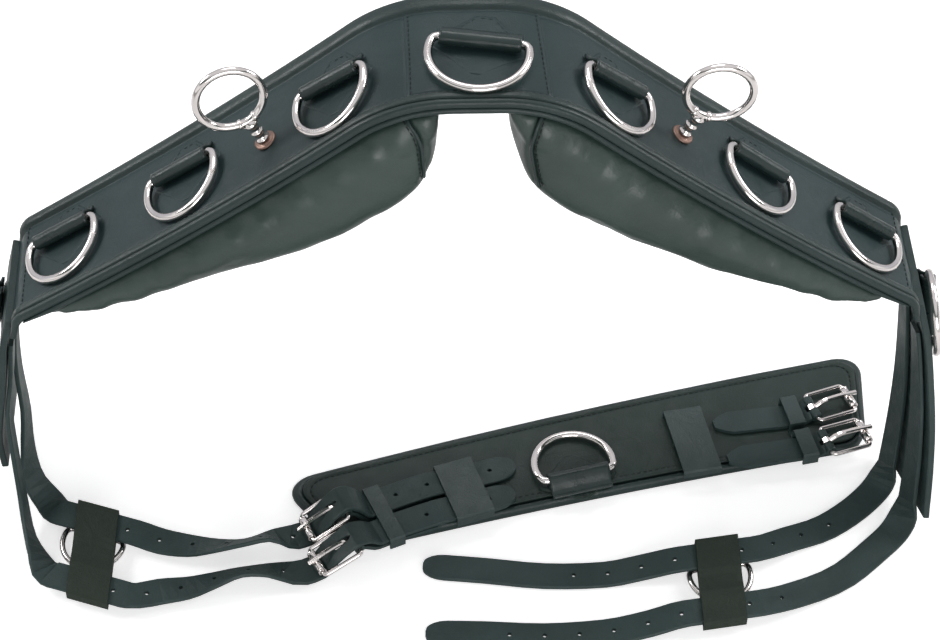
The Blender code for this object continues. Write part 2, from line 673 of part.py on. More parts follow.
def girth_layer(name, low, high, inset, ease, kind):
    """Flat layer with round corners, following the curve of the girth."""
    first, last = GIRTH_ENDS[0] + inset, GIRTH_ENDS[1] - inset
    near, far = GIRTH_EDGES[0] + inset, GIRTH_EDGES[1] - inset
    corner = GIRTH_CORNER - inset * 0.5
    steps, straight = 4, 12
    stations = []
    for k in range(steps + 1):
        angle = math.pi / 2 * (1 - k / steps)
        stations.append((first + corner - corner * math.sin(angle), corner - corner * math.cos(angle)))
    run = last - first - 2 * corner
    stations += [(first + corner + run * k / straight, 0.0) for k in range(1, straight)]
    for k in range(steps + 1):
        angle = math.pi / 2 * k / steps
        stations.append((last - corner + corner * math.sin(angle), corner - corner * math.cos(angle)))
    rings = []
    lift = (high - low) * 0.30 if ease else 0.0
    for out, pinch in stations:
        left = near + pinch + GIRTH_FLARE[0] * (out + 0.02)
        right = far - pinch + GIRTH_FLARE[1] * (out + 0.02)
        outline = ((left + ease, low), (right - ease, low), (right, low + lift), (right, high - lift),
                   (right - ease, high), (left + ease, high), (left, high - lift), (left, low + lift))
        if not ease:
            outline = ((left, low), (right, low), (right, high), (left, high))
        slant = GIRTH_SLANTS[0] if out < 0 else GIRTH_SLANTS[1]
        slant *= max(0.0, abs(out) - GIRTH_SLANT_FROM) / (GIRTH_ENDS[1] - GIRTH_SLANT_FROM)
        rings.append([girth_frame(out + slant * a, a, b)[0] for a, b in outline])
    return finish(smooth(skin(name, rings), 50.0), kind)


def strap_across(side_name, which, out):
    """Where a strap lies across the girth at a distance out from its middle."""
    return value_at(STRAP_LINES[(side_name, which)], out)


def end_point(side_name, which, out, height, across=0.0):
    """Point over one end of the girth, counted out from its middle along a strap."""
    side = SIDES[side_name]
    return girth_frame(side * out, strap_across(side_name, which, out) + across, height)[0]


def strap_frame(side_name, which, out, height):
    """Placement at a strap: X outwards along it, Y across, Z up on the right end."""
    here = end_point(side_name, which, out, height)
    ahead = end_point(side_name, which, out + 0.004, height)
    x_axis = ahead - here
    return frame_matrix(here, x_axis, Vector((0.0, 0.0, 1.0)).cross(x_axis))


def fastened(side_name):
    return side_name == "left"


def heel_height(side_name, which):
    """Height of a buckle's heel bar over the ground."""
    if fastened(side_name):
        return FASTENED_ROLLER_HEIGHT + BUCKLE_LENGTH * math.sin(FASTENED_TILT[which])
    return GIRTH_TOP + GAP + BUCKLE_WIRE / 2 + RUNNING_FIT + CHAPE_LEATHER


def buckle_seat(side_name, which):
    """Placement of a buckle: origin on its heel bar, X towards the roller, Y along the bar."""
    place = strap_frame(side_name, which, BUCKLE_AT[side_name], heel_height(side_name, which))
    if fastened(side_name):
        return place @ Matrix.Rotation(FASTENED_TILT[which], 4, "Y")
    roller = BUCKLE_WIRE / 2 + RUNNING_FIT + ROLLER_WALL
    drop = heel_height(side_name, which) - (GIRTH_TOP + GAP + roller)
    return place @ Matrix.Rotation(math.asin(drop / BUCKLE_LENGTH), 4, "Y")


def build_buckle(side_name, which):
    stem = side_name + "_" + which
    seat = buckle_seat(side_name, which)
    half = (BUCKLE_INSIDE + BUCKLE_WIRE) / 2
    outline = []
    for cx, cy, first in ((BUCKLE_LENGTH - BUCKLE_CORNER, half - BUCKLE_CORNER, 0.0),
                          (BUCKLE_CORNER, half - BUCKLE_CORNER, 0.5),
                          (BUCKLE_CORNER, BUCKLE_CORNER - half, 1.0),
                          (BUCKLE_LENGTH - BUCKLE_CORNER, BUCKLE_CORNER - half, 1.5)):
        for k in range(3):
            angle = math.pi * (first + k * 0.25)
            x, y = cx + BUCKLE_CORNER * math.cos(angle), cy + BUCKLE_CORNER * math.sin(angle)
            outline.append(Vector((x, y, 0.0)))
    world = [seat @ p for p in outline]
    normal = seat.to_3x3() @ Vector((0.0, 0.0, 1.0))
    finish(wire_loop(stem + "_buckle_frame", world, normal, BUCKLE_WIRE, 8, seat), "nickel")
    roller_seat = seat @ Matrix.Translation((BUCKLE_LENGTH, 0.0, 0.0)) @ Matrix.Rotation(math.pi / 2, 4, "Z")
    inner = BUCKLE_WIRE / 2 + RUNNING_FIT
    length = 2 * (half - BUCKLE_CORNER) - 2 * GAP
    finish(tube(stem + "_roller", inner, inner + ROLLER_WALL, length, roller_seat, 12), "nickel")
    build_tongue(stem, seat, inner)


def build_tongue(stem, seat, inner):
    """Tongue with an eye on the heel bar and an arched arm that lies on the roller."""
    eye_seat = seat @ Matrix.Rotation(math.pi / 2, 4, "Z")
    tongue = tube(stem + "_tongue", inner, inner + TONGUE_EYE_WALL, TONGUE_WIDTH, eye_seat, 12)
    half = TONGUE_THICKNESS / 2
    rest = inner + ROLLER_WALL + GAP + half
    knots = [(inner + 0.4 * TONGUE_EYE_WALL, 0.0016), (0.009, 0.0052), (0.018, rest + 0.0009),
             (BUCKLE_LENGTH, rest), (BUCKLE_LENGTH + 0.0055, rest - 0.0006)]
    points = smooth_route(knots, 3)
    path = []
    for k, (x, z) in enumerate(points):
        before, after = points[max(0, k - 1)], points[min(len(points) - 1, k + 1)]
        along = Vector((after[0] - before[0], 0.0, after[1] - before[1])).normalized()
        up = Vector((-along.z, 0.0, along.x))
        turn = seat.to_3x3()
        path.append((seat @ Vector((x, 0.0, z)), turn @ Vector((0.0, 1.0, 0.0)), turn @ up))
    width = TONGUE_WIDTH * 0.42
    section = [(-width, -half * 0.5), (-width * 0.5, -half), (width * 0.5, -half), (width, -half * 0.5),
               (width, half * 0.5), (width * 0.5, half), (-width * 0.5, half), (-width, half * 0.5)]
    arm = sweep(stem + "_arm_guide", path, section)
    boolean(tongue, arm, "UNION")
    finish(tongue, "nickel")


def chape_line(side_name, which):
    """Middle of the sewn strap's thickness as (out, height, slope, share of the width)."""
    bar = heel_height(side_name, which)
    flat = GIRTH_TOP + 1.5 * GAP + CHAPE_STRAP_THICKNESS / 2
    reach = BUCKLE_AT[side_name] - (BUCKLE_WIRE / 2 + RUNNING_FIT) - EYE_LAND
    loop_end = SMALL_LOOP_AT[side_name] + SMALL_LOOP_LENGTH / 2 + LOOP_MARGIN[side_name]
    knots = [(CHAPE_START, flat, 0.35), (CHAPE_START + 0.006, flat, 0.72), (CHAPE_START + 0.013, flat, 1.0)]
    run = loop_end - CHAPE_START - 0.013
    knots += [(CHAPE_START + 0.013 + run * k / 3, flat, 1.0) for k in range(1, 4)]
    rise = reach - loop_end
    for t in (0.25, 0.5, 0.75, 1.0):
        knots.append((loop_end + rise * t, flat + (bar - flat) * t * t * (3 - 2 * t), 1.0))
    line = []
    for k, (out, height, share) in enumerate(knots):
        before, after = knots[max(0, k - 1)], knots[min(len(knots) - 1, k + 1)]
        line.append((out, height, math.atan2(after[1] - before[1], after[0] - before[0]), share))
    return line


def chape_strap(side_name, which):
    """Strap sewn on the girth whose end is folded round the heel bar, with a slot for the tongue."""
    rings = []
    half = CHAPE_STRAP_THICKNESS / 2
    for out, height, slope, share in chape_line(side_name, which):
        lean, rise = -math.sin(slope) * half, math.cos(slope) * half
        width = CHAPE_STRAP_WIDTH / 2 * share
        rings.append([end_point(side_name, which, out - lean, height - rise, -width),
                      end_point(side_name, which, out - lean, height - rise, width),
                      end_point(side_name, which, out + lean, height + rise, width),
                      end_point(side_name, which, out + lean, height + rise, -width)])
    name = side_name + "_" + which + "_chape_strap"
    strap = skin(name, rings)
    seat = strap_frame(side_name, which, BUCKLE_AT[side_name], heel_height(side_name, which))
    inner = BUCKLE_WIRE / 2 + RUNNING_FIT
    eye_seat = seat @ Matrix.Rotation(math.pi / 2, 4, "Z")
    eye = tube_core(name + "_eye_guide", inner + CHAPE_LEATHER, CHAPE_STRAP_WIDTH - 2 * GAP, eye_seat)
    boolean(strap, eye, "UNION")
    boolean(strap, tube_core(name + "_core_guide", inner, 2 * CHAPE_STRAP_WIDTH, eye_seat), "DIFFERENCE")
    slot_half = TONGUE_WIDTH / 2 + 2 * GAP
    reach_in = inner + CHAPE_LEATHER + TONGUE_SLOT_ROOM
    slot_outline = [(-reach_in, -slot_half), (reach_in, -slot_half),
                    (reach_in, slot_half), (-reach_in, slot_half)]
    below = Matrix.Translation((0.0, 0.0, -BUCKLE_LENGTH / 2))
    slot = prism(name + "_slot_guide", slot_outline, BUCKLE_LENGTH, seat @ below)
    boolean(strap, slot, "DIFFERENCE")
    return finish(strap, "leather")


def staple_outline(rooms, height, wall):
    """Outline of arches side by side, each room a (middle, width), with a foot between them."""
    ease = wall * 0.8
    outer, inner = [], []
    for middle, width in rooms:
        near, far = middle - width / 2, middle + width / 2
        outer += [(near - wall, wall), (near - wall, height + wall - ease),
                  (near - wall + ease, height + wall), (far + wall - ease, height + wall),
                  (far + wall, height + wall - ease), (far + wall, wall)]
        inner += [(near, 0.0), (near, height), (far, height), (far, 0.0)]
    outer[0] = (outer[0][0], 0.0)
    outer[-1] = (outer[-1][0], 0.0)
    between = rooms[1][0] - rooms[1][1] / 2 - rooms[0][0] - rooms[0][1] / 2
    if between < 2.5 * wall:
        outer = outer[:3] + outer[-3:]
    return outer + list(reversed(inner))


def loop_over(name, side_name, out, across, rooms, height, length):
    """Keeper loop sewn to the girth, with its feet on the facing."""
    side = SIDES[side_name]
    base, along, back = girth_frame(side * out, across, GIRTH_TOP + GAP)
    slope = (strap_across(side_name, "back", out + 0.01) - strap_across(side_name, "back", out - 0.01)) / 0.02
    x_axis = (along * side + back * slope).normalized()
    y_axis = Vector((0.0, 0.0, 1.0)).cross(x_axis)
    if y_axis.dot(back) < 0:
        y_axis = -y_axis
    rings = []
    for step in (-length / 2, length / 2):
        rings.append([base + x_axis * step + y_axis * a + Vector((0.0, 0.0, b))
                      for a, b in staple_outline(rooms, height, LOOP_LEATHER)])
    return skin(name, rings)


def build_girth():
    girth_layer("girth_pad", 0.0, GIRTH_PAD_THICKNESS, 0.0015, 0.0015, "soft_leather")
    low = GIRTH_PAD_THICKNESS + GAP
    girth_layer("girth_facing", low, GIRTH_TOP, GIRTH_FACING_INSET, 0.0, "leather")
    base, along, back = girth_frame(GIRTH_RING_OUT, GIRTH_RING_ACROSS, GIRTH_TOP)
    place = frame_matrix(base, -along, -back)
    ring_set("girth", place, points=(0.019, 0.024))
    for side_name in SIDES:
        for which in ("back", "front"):
            chape_strap(side_name, which)
            build_buckle(side_name, which)
        out = SMALL_LOOP_AT[side_name]
        middle, half_pitch = loop_middle(side_name, out)
        room = STRAP_WIDTH + SLOT_PLAY
        rooms = ((-half_pitch, room), (half_pitch, room))
        small = loop_over(side_name + "_small_loops", side_name, out, middle, rooms,
                          CHAPE_STRAP_THICKNESS + STRAP_THICKNESS + 9 * GAP, SMALL_LOOP_LENGTH)
        finish(small, "leather")
        out = WIDE_LOOP_AT[side_name]
        middle, half_pitch = WIDE_LOOP_LINES[side_name]
        room = 2 * half_pitch - LOOP_LEATHER
        height = STRAP_THICKNESS + 6 * GAP + (CHAPE_STRAP_THICKNESS if fastened(side_name) else 0.0)
        rooms = ((-half_pitch, room), (half_pitch, room))
        wide = loop_over(side_name + "_wide_loop", side_name, out, middle, rooms, height, WIDE_LOOP_LENGTH)
        finish(wide, "leather")


def loop_middle(side_name, out):
    """Middle between the two straps of one end, and half their distance apart."""
    back = strap_across(side_name, "back", out)
    front = strap_across(side_name, "front", out)
    return (back + front) / 2, (back - front) / 2


# Billets

def flap_lead(side_name, offset, first, lowest):
    """Frames of a billet down the inner face of its flap, as far as the given height."""
    frames = flap_frames(side_name)
    stand = FLAP_THICKNESS / 2 + BILLET_STAND + STRAP_THICKNESS / 2
    lead = []
    for k, (point, across, outward, along) in enumerate(frames[first:]):
        ease = BILLET_EASE * (k / (len(frames) - first)) ** 2
        place = point + across * offset - outward * (stand + ease)
        if place.z > lowest:
            lead.append((place, across))
    return lead


def billet_path(lead, knots, steps):
    """Centre line that follows the flap first and runs smoothly on, with its own width direction."""
    values = [tuple(point) + tuple(across) for point, across in lead[-2:] + knots]
    route = [tuple(point) + tuple(across) for point, across in lead[:-1]]
    route += smooth_route(values, steps)[steps:]
    path = []
    for k, value in enumerate(route):
        point = Vector(value[:3])
        before, after = Vector(route[max(0, k - 1)][:3]), Vector(route[min(len(route) - 1, k + 1)][:3])
        along = (after - before).normalized()
        across = Vector(value[3:])
        across = (across - along * across.dot(along)).normalized()
        path.append((point, across, along.cross(across), along))
    return path


def floor_knots(points, previous):
    """Knots for a strap that lies flat or twisted: each point is (x, y, height, twist in degrees)."""
    knots = []
    last = previous
    for k, (x, y, height, twist) in enumerate(points):
        before = points[max(0, k - 1)]
        after = points[min(len(points) - 1, k + 1)]
        along = Vector((after[0] - before[0], after[1] - before[1], 0.0)).normalized()
        across = Vector((-along.y, along.x, 0.0))
        if across.dot(last) < 0:
            across = -across
        last = across
        knots.append((Vector((x, y, height)), Matrix.Rotation(math.radians(twist), 3, along) @ across))
    return knots


def keeper_axes(side_name):
    """Directions along the straps and across them at a sliding keeper."""
    heading, crossing = KEEPER_HEADING[side_name], KEEPER_CROSSING[side_name]
    forward = Vector((math.cos(heading), math.sin(heading), 0.0))
    return forward, Vector((math.cos(crossing), math.sin(crossing), 0.0))


def keeper_slot(side_name, which, along=0.0):
    """Middle of a strap inside the sliding keeper."""
    forward, back = keeper_axes(side_name)
    sign = 0.5 if which == "back" else -0.5
    height = KEEPER_LIFT + LOOP_LEATHER + (KEEPER_PLAY + STRAP_THICKNESS) / 2
    middle = Vector((*KEEPER_MIDDLE[side_name], height))
    return middle + back * (sign * KEEPER_PITCH[side_name]) + forward * along


def keeper_knots(side_name, which, direction):
    out = []
    forward, back = keeper_axes(side_name)
    skew = (STRAP_WIDTH + KEEPER_SLOT_PLAY) / 2 * abs(forward.dot(back))
    swept = KEEPER_LENGTH / 2 + KEEPER_TRAVEL + skew + GAP
    straight = swept + KEEPER_RUN_OUT
    for along in (-straight, -swept, swept, straight):
        point = keeper_slot(side_name, which, along * direction)
        out.append((point.x, point.y, point.z, 0.0))
    return out


RIGHT_DOWN = {               # out from the fold, y and height of points from the flap to the keeper
    "back": (
        (-0.00765, -0.0700, 0.0050), (-0.01615, -0.0795, 0.0024), (-0.02965, -0.0920, 0.0022),
        (-0.05265, -0.1080, 0.0022), (-0.08265, -0.1215, 0.0060)),
    "front": (
        (0.00185, -0.1085, 0.0080), (-0.00615, -0.1175, 0.0028), (-0.01965, -0.1300, 0.0022),
        (-0.04565, -0.1520, 0.0022), (-0.08265, -0.1710, 0.0060)),
}
RIGHT_ON = {                 # x, y and height of points from the keeper to the tip
    "back": (
        (0.1280, -0.1435, 0.0060), (0.0980, -0.1470, 0.0021), (0.0540, -0.1470, 0.0021),
        (0.0110, -0.1410, 0.0021), (-0.0340, -0.1355, 0.0021)),
    "front": (
        (0.1270, -0.1935, 0.0060), (0.0940, -0.1980, 0.0021), (0.0510, -0.2000, 0.0021),
        (0.0080, -0.1970, 0.0021), (-0.0340, -0.1950, 0.0021)),
}
LEFT_HANGING = {             # out from the fold, y and height of a point, and the strap's width direction
    "back": (
        ((0.01035, 0.0040, 0.0700), (0.00, 0.96, -0.28)), ((0.00585, -0.0170, 0.0470), (0.10, 0.85, -0.50)),
        ((0.00485, -0.0370, 0.0270), (0.25, 0.78, -0.55)), ((0.00055, -0.0560, 0.0130), (0.45, 0.82, -0.30)),
        ((-0.01115, -0.0725, 0.0078), (0.60, 0.80, -0.08))),
    "front": (
        ((0.01485, -0.0340, 0.0660), (0.00, 0.92, -0.39)), ((0.01135, -0.0560, 0.0420), (0.05, 0.62, -0.78)),
        ((0.00585, -0.0820, 0.0230), (0.15, 0.25, -0.95)), ((0.00035, -0.1060, 0.0135), (0.30, 0.10, -0.95)),
        ((-0.00765, -0.1250, 0.0105), (0.60, 0.35, -0.72))),
}
LEFT_LYING = {               # x, y, height and twist in degrees, from the keeper to the buckle
    "back": (
        (-0.2230, -0.1130, 0.0085, 0.0), (-0.2030, -0.1170, 0.0080, -10.0), (-0.1830, -0.1190, 0.0100, -32.0),
        (-0.1630, -0.1185, 0.0125, -45.0), (-0.1470, -0.1150, 0.0140, -40.0)),
    "front": (
        (-0.2230, -0.1565, 0.0070, 0.0), (-0.2040, -0.1540, 0.0070, -10.0), (-0.1840, -0.1485, 0.0085, -28.0),
        (-0.1650, -0.1435, 0.0105, -40.0), (-0.1460, -0.1420, 0.0100, -32.0)),
}


def fold_out():
    """How far out the fold of the body's end is, from the crown."""
    return arch(SHOULDER_END + FLAP_TOP)[0]


def taper(path, width, thickness, tip):
    """Sections of a strap, rounded off to a point over the last stretch."""
    length = 0.0
    lengths = [0.0]
    for (a, *_), (b, *_) in zip(path, path[1:]):
        length += (b - a).length
        lengths.append(length)
    rings = []
    for (point, across, up, along), here in zip(path, lengths):
        left = length - here
        bow = math.sqrt(max(0.0, 1 - max(0.0, 1 - left / tip) ** 2))
        share = TIP_BLUNT + (1 - TIP_BLUNT) * bow
        rings.append([point + across * a * share + up * b for a, b in strip(width, thickness, 0.0007)])
    return rings


def station(path, distance):
    """Frame on a path at a distance back from its end."""
    left = distance
    for (a, *_), (b, across, up, along) in zip(reversed(path[:-1]), reversed(path[1:])):
        step = (b - a).length
        if left <= step:
            return b + (a - b) * (left / step), across, up, along
        left -= step
    return path[0]


def fine_tip(path):
    """Path with closer sections where the strap is rounded off."""
    left, keep = 0.0, 0
    for k in range(len(path) - 1, 0, -1):
        left += (path[k][0] - path[k - 1][0]).length
        if left > TIP_TAPER + GAP:
            keep = k
            break
    return path[:keep] + [station(path, TIP_TAPER * share) for share in TIP_SECTIONS]


def cut_holes(strap, name, path, distances, tongue_cut=None):
    """Row of holes for the buckle's tongue."""
    holes = None
    cuts = [(station(path, d), HOLE_RADIUS, HOLE_RADIUS) for d in distances]
    if tongue_cut is not None:
        cuts = [cut for cut in cuts if (cut[0][0] - tongue_cut[0]).length > HOLE_PITCH / 2]
        cuts.append((tongue_cut, TONGUE_SLOT_LENGTH / 2, TONGUE_WIDTH / 2 + 2 * GAP))
    for (point, across, up, along), reach, half in cuts:
        rings = []
        for height in (-STRAP_THICKNESS, STRAP_THICKNESS):
            middle = point + up * height
            rings.append([middle + along * (reach * x) + across * (half * y) for x, y in circle(1.0, 8)])
        hole = skin(name + "_hole_guide", rings)
        holes = hole if holes is None else join_mesh(holes, hole)
    boolean(strap, holes, "DIFFERENCE")


def build_right_billet(which):
    points = [(fold_out() + out, y, height, 0.0) for out, y, height in RIGHT_DOWN[which]]
    points += keeper_knots("right", which, -1.0) + [(*p, 0.0) for p in RIGHT_ON[which]]
    lead = [(p, -a) for p, a in flap_lead("right", BILLET_OFFSET[which], BILLET_FROM, 0.012)]
    path = billet_path(lead, floor_knots(points, Vector((0.3, -0.95, 0.0))), 3)
    name = "right_" + which + "_billet"
    strap = skin(name, taper(fine_tip(path), STRAP_WIDTH, STRAP_THICKNESS, TIP_TAPER))
    cut_holes(strap, name, path, [HOLE_FROM_TIP[which] + HOLE_PITCH * k for k in range(HOLES_PER_STRAP)])
    finish(smooth(strap, 35.0), "leather")


def fastened_points(which):
    """Billet through its buckle: under the roller, over the heel bar, along the girth to its tip."""
    tilt = FASTENED_TILT[which]
    half = STRAP_THICKNESS / 2
    at = BUCKLE_AT["left"]
    roller_out = at + BUCKLE_LENGTH * math.cos(tilt)
    round_roller = BUCKLE_WIRE / 2 + RUNNING_FIT + ROLLER_WALL + 3 * GAP + half
    heel = heel_height("left", which)
    round_heel = BUCKLE_WIRE / 2 + RUNNING_FIT + CHAPE_LEATHER + 3 * GAP + half
    marks = [(roller_out + 0.010, FASTENED_ROLLER_HEIGHT - round_roller + 0.0006)]
    for turn in (0.0, 40.0, 75.0):
        angle = math.radians(turn)
        marks.append((roller_out - round_roller * math.sin(angle),
                      FASTENED_ROLLER_HEIGHT - round_roller * math.cos(angle)))
    for turn in (40.0, 10.0, -20.0):
        angle = math.radians(turn)
        marks.append((at + round_heel * math.sin(angle), heel + round_heel * math.cos(angle)))
    seat = strap_frame("left", which, at, 0.0)
    out = [seat @ Vector((distance - at, 0.0, height)) for distance, height in marks]
    lift = CHAPE_STRAP_THICKNESS / 2 + half + 6 * GAP
    line = [knot for knot in chape_line("left", which) if knot[3] == 1.0]
    for distance, height, slope, share in reversed(line[:-1]):
        over = distance - math.sin(slope) * lift
        out.append(end_point("left", which, over, height + math.cos(slope) * lift))
    flat = GIRTH_TOP + 2.5 * GAP + half
    on_chape = GIRTH_TOP + CHAPE_STRAP_THICKNESS + 3.5 * GAP + half
    before_loop = WIDE_LOOP_AT["left"] - WIDE_LOOP_LENGTH * 0.55
    out.append(end_point("left", which, CHAPE_START - 0.003, on_chape))
    out.append(end_point("left", which, before_loop, flat))
    out.append(end_point("left", which, FASTENED_TIP[which], flat))
    return [(*point, 0.0) for point in out]


def build_left_billet(which):
    hanging = [(Vector((-fold_out() - out, y, height)), Vector(across).normalized())
               for (out, y, height), across in LEFT_HANGING[which]]
    points = keeper_knots("left", which, 1.0) + list(LEFT_LYING[which]) + fastened_points(which)
    knots = hanging + floor_knots(points, Vector((0.6, 0.8, 0.0)))
    path = billet_path(flap_lead("left", BILLET_OFFSET[which], BILLET_FROM, 0.086), knots, 3)
    name = "left_" + which + "_billet"
    strap = skin(name, taper(fine_tip(path), STRAP_WIDTH, STRAP_THICKNESS, TIP_TAPER))
    middle = buckle_seat("left", which) @ Vector(TONGUE_CROSSING)
    nearest = min(path, key=lambda frame: (frame[0] - middle).length)
    distances = [FASTENED_HOLE_FROM_TIP + HOLE_PITCH * k for k in FASTENED_HOLES]
    cut_holes(strap, name, path, distances, (middle, *nearest[1:]))
    finish(smooth(strap, 35.0), "leather")


# Sliding keepers

def build_keeper(side_name):
    """Leather sleeve that slides along both billets and carries a small ring underneath."""
    forward, back = keeper_axes(side_name)
    middle = Vector((*KEEPER_MIDDLE[side_name], 0.0))
    pitch = KEEPER_PITCH[side_name]
    room = STRAP_THICKNESS + KEEPER_PLAY
    low = KEEPER_LIFT
    high = low + 2 * LOOP_LEATHER + room
    half = pitch / 2 + STRAP_WIDTH / 2 + KEEPER_SLOT_PLAY / 2 + LOOP_LEATHER
    waist = pitch / 2 - STRAP_WIDTH / 2 - KEEPER_SLOT_PLAY / 2 - LOOP_LEATHER
    pinch = LOOP_LEATHER * 0.9
    outline = [(-half, low), (half, low), (half, high - pinch), (half - pinch, high), (waist, high),
               (waist * 0.4, high - pinch), (-waist * 0.4, high - pinch), (-waist, high),
               (pinch - half, high), (-half, high - pinch)]
    place = frame_matrix(middle, forward, back)

    def run(points, reach):
        ends = [middle + forward * x for x in (-reach, reach)]
        return [[end + back * a + Vector((0.0, 0.0, b)) for a, b in points] for end in ends]

    sleeve = skin(side_name + "_sliding_keeper", run(outline, KEEPER_LENGTH / 2), False, place)
    for sign in (1.0, -1.0):
        centre = sign * pitch / 2
        reach = STRAP_WIDTH / 2 + KEEPER_SLOT_PLAY / 2
        floor, ceiling = low + LOOP_LEATHER, low + LOOP_LEATHER + room
        corners = [(centre - reach, floor), (centre + reach, floor), (centre + reach, ceiling),
                   (centre - reach, ceiling)]
        boolean(sleeve, skin(side_name + "_slot_guide", run(corners, KEEPER_LENGTH)), "DIFFERENCE")
    inner = KEEPER_RING_WIRE / 2 + RUNNING_FIT
    bar = keeper_bar(side_name)
    tunnel = tube_core(side_name + "_tunnel_guide", inner + TUNNEL_WALL, KEEPER_LENGTH * 0.8, bar, 12)
    boolean(sleeve, tunnel, "UNION")
    core = tube_core(side_name + "_tunnel_core_guide", inner, KEEPER_LENGTH * 2, bar, 12)
    boolean(sleeve, core, "DIFFERENCE")
    finish(sleeve, "keeper_leather")
    points = ring_points(KEEPER_RING_BOW, KEEPER_RING_CHORD, RING_CORNER)[0]
    drop = bar.translation.z - KEEPER_RING_WIRE / 2 - 2 * GAP
    tilt = Matrix.Rotation(math.asin(drop / (KEEPER_RING_BOW + KEEPER_RING_CHORD)), 4, "X")
    seat = bar @ tilt
    world = [seat @ p for p in points]
    normal = seat.to_3x3() @ Vector((0.0, 0.0, 1.0))
    finish(wire_loop(side_name + "_keeper_ring", world, normal, KEEPER_RING_WIRE, 8, seat), "nickel")


def keeper_bar(side_name):
    """Placement of the small ring's bar under the sleeve."""
    forward, back = keeper_axes(side_name)
    outer = KEEPER_RING_WIRE / 2 + RUNNING_FIT + TUNNEL_WALL
    offset = KEEPER_PITCH[side_name] / 2 - STRAP_WIDTH / 2 + 0.004
    middle = Vector((*KEEPER_MIDDLE[side_name], 0.0)) + back * offset
    return frame_matrix(middle + Vector((0.0, 0.0, outer + 2 * GAP)), forward, back)


build_body()
for pad_side in SIDES:
    build_pad(pad_side)
    build_flap(pad_side)
build_body_rings()
build_terrets()
build_girth()
for billet in ("back", "front"):
    build_right_billet(billet)
    build_left_billet(billet)
for keeper_side in SIDES:
    build_keeper(keeper_side)
bpy.context.view_layer.update()
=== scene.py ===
"""Looks of the lunging surcingle: stitched and padded leather with bright nickel fittings."""
import json
import math

import bmesh
import bpy
import numpy as np
from mathutils import Matrix, Vector, noise
from mathutils.bvhtree import BVHTree


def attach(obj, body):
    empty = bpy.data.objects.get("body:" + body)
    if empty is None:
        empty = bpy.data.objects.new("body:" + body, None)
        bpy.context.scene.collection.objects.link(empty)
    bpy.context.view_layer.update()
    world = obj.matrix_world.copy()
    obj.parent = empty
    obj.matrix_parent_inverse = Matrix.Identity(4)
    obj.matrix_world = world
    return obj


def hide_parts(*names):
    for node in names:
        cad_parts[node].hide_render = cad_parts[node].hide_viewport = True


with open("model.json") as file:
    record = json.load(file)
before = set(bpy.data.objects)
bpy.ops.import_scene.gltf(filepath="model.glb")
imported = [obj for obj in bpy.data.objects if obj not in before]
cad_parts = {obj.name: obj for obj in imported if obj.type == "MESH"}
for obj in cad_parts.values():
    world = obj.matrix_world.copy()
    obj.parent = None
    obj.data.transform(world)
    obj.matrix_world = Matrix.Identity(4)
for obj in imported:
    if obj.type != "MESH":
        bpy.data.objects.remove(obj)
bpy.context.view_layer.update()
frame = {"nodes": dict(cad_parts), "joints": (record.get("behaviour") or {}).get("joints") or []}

scene = bpy.context.scene
nodes = frame["nodes"]
joints = {j["name"]: j for j in frame["joints"]}
SHIFT = Vector((0.0009, 0.0790, 0.0))
UP = Vector((0.0, 0.0, 1.0))
BACK = Vector((0.0, 1.0, 0.0))
SIDES = {"left": -1.0, "right": 1.0}

# Camera, fitted to the photograph
PHOTO_WIDTH = 940
FOCAL_PIXELS = 2600.0
PITCH, YAW, ROLL = math.radians(48.36), math.radians(3.89), math.radians(1.85)
EYE = Vector((-0.0816, -1.2576, 1.5359)) + SHIFT


def framed(x_axis, y_axis, z_axis, origin):
    """Placement with the given axes and origin."""
    matrix = Matrix((x_axis, y_axis, z_axis)).transposed().to_4x4()
    matrix.translation = origin
    return matrix


def make_camera():
    data = bpy.data.cameras.new("camera")
    camera = bpy.data.objects.new("camera", data)
    scene.collection.objects.link(camera)
    data.sensor_width = 36.0
    data.sensor_fit = "HORIZONTAL"
    data.lens = FOCAL_PIXELS * data.sensor_width / PHOTO_WIDTH
    data.clip_start, data.clip_end = 0.05, 30.0
    forward = Vector((math.sin(YAW) * math.cos(PITCH), math.cos(YAW) * math.cos(PITCH), -math.sin(PITCH)))
    right = Vector((math.cos(YAW), -math.sin(YAW), 0.0))
    up = right.cross(forward)
    turned_right = right * math.cos(ROLL) + up * math.sin(ROLL)
    turned_up = -right * math.sin(ROLL) + up * math.cos(ROLL)
    camera.matrix_world = framed(turned_right, turned_up, -forward, EYE)
    scene.camera = camera


make_camera()


# Materials

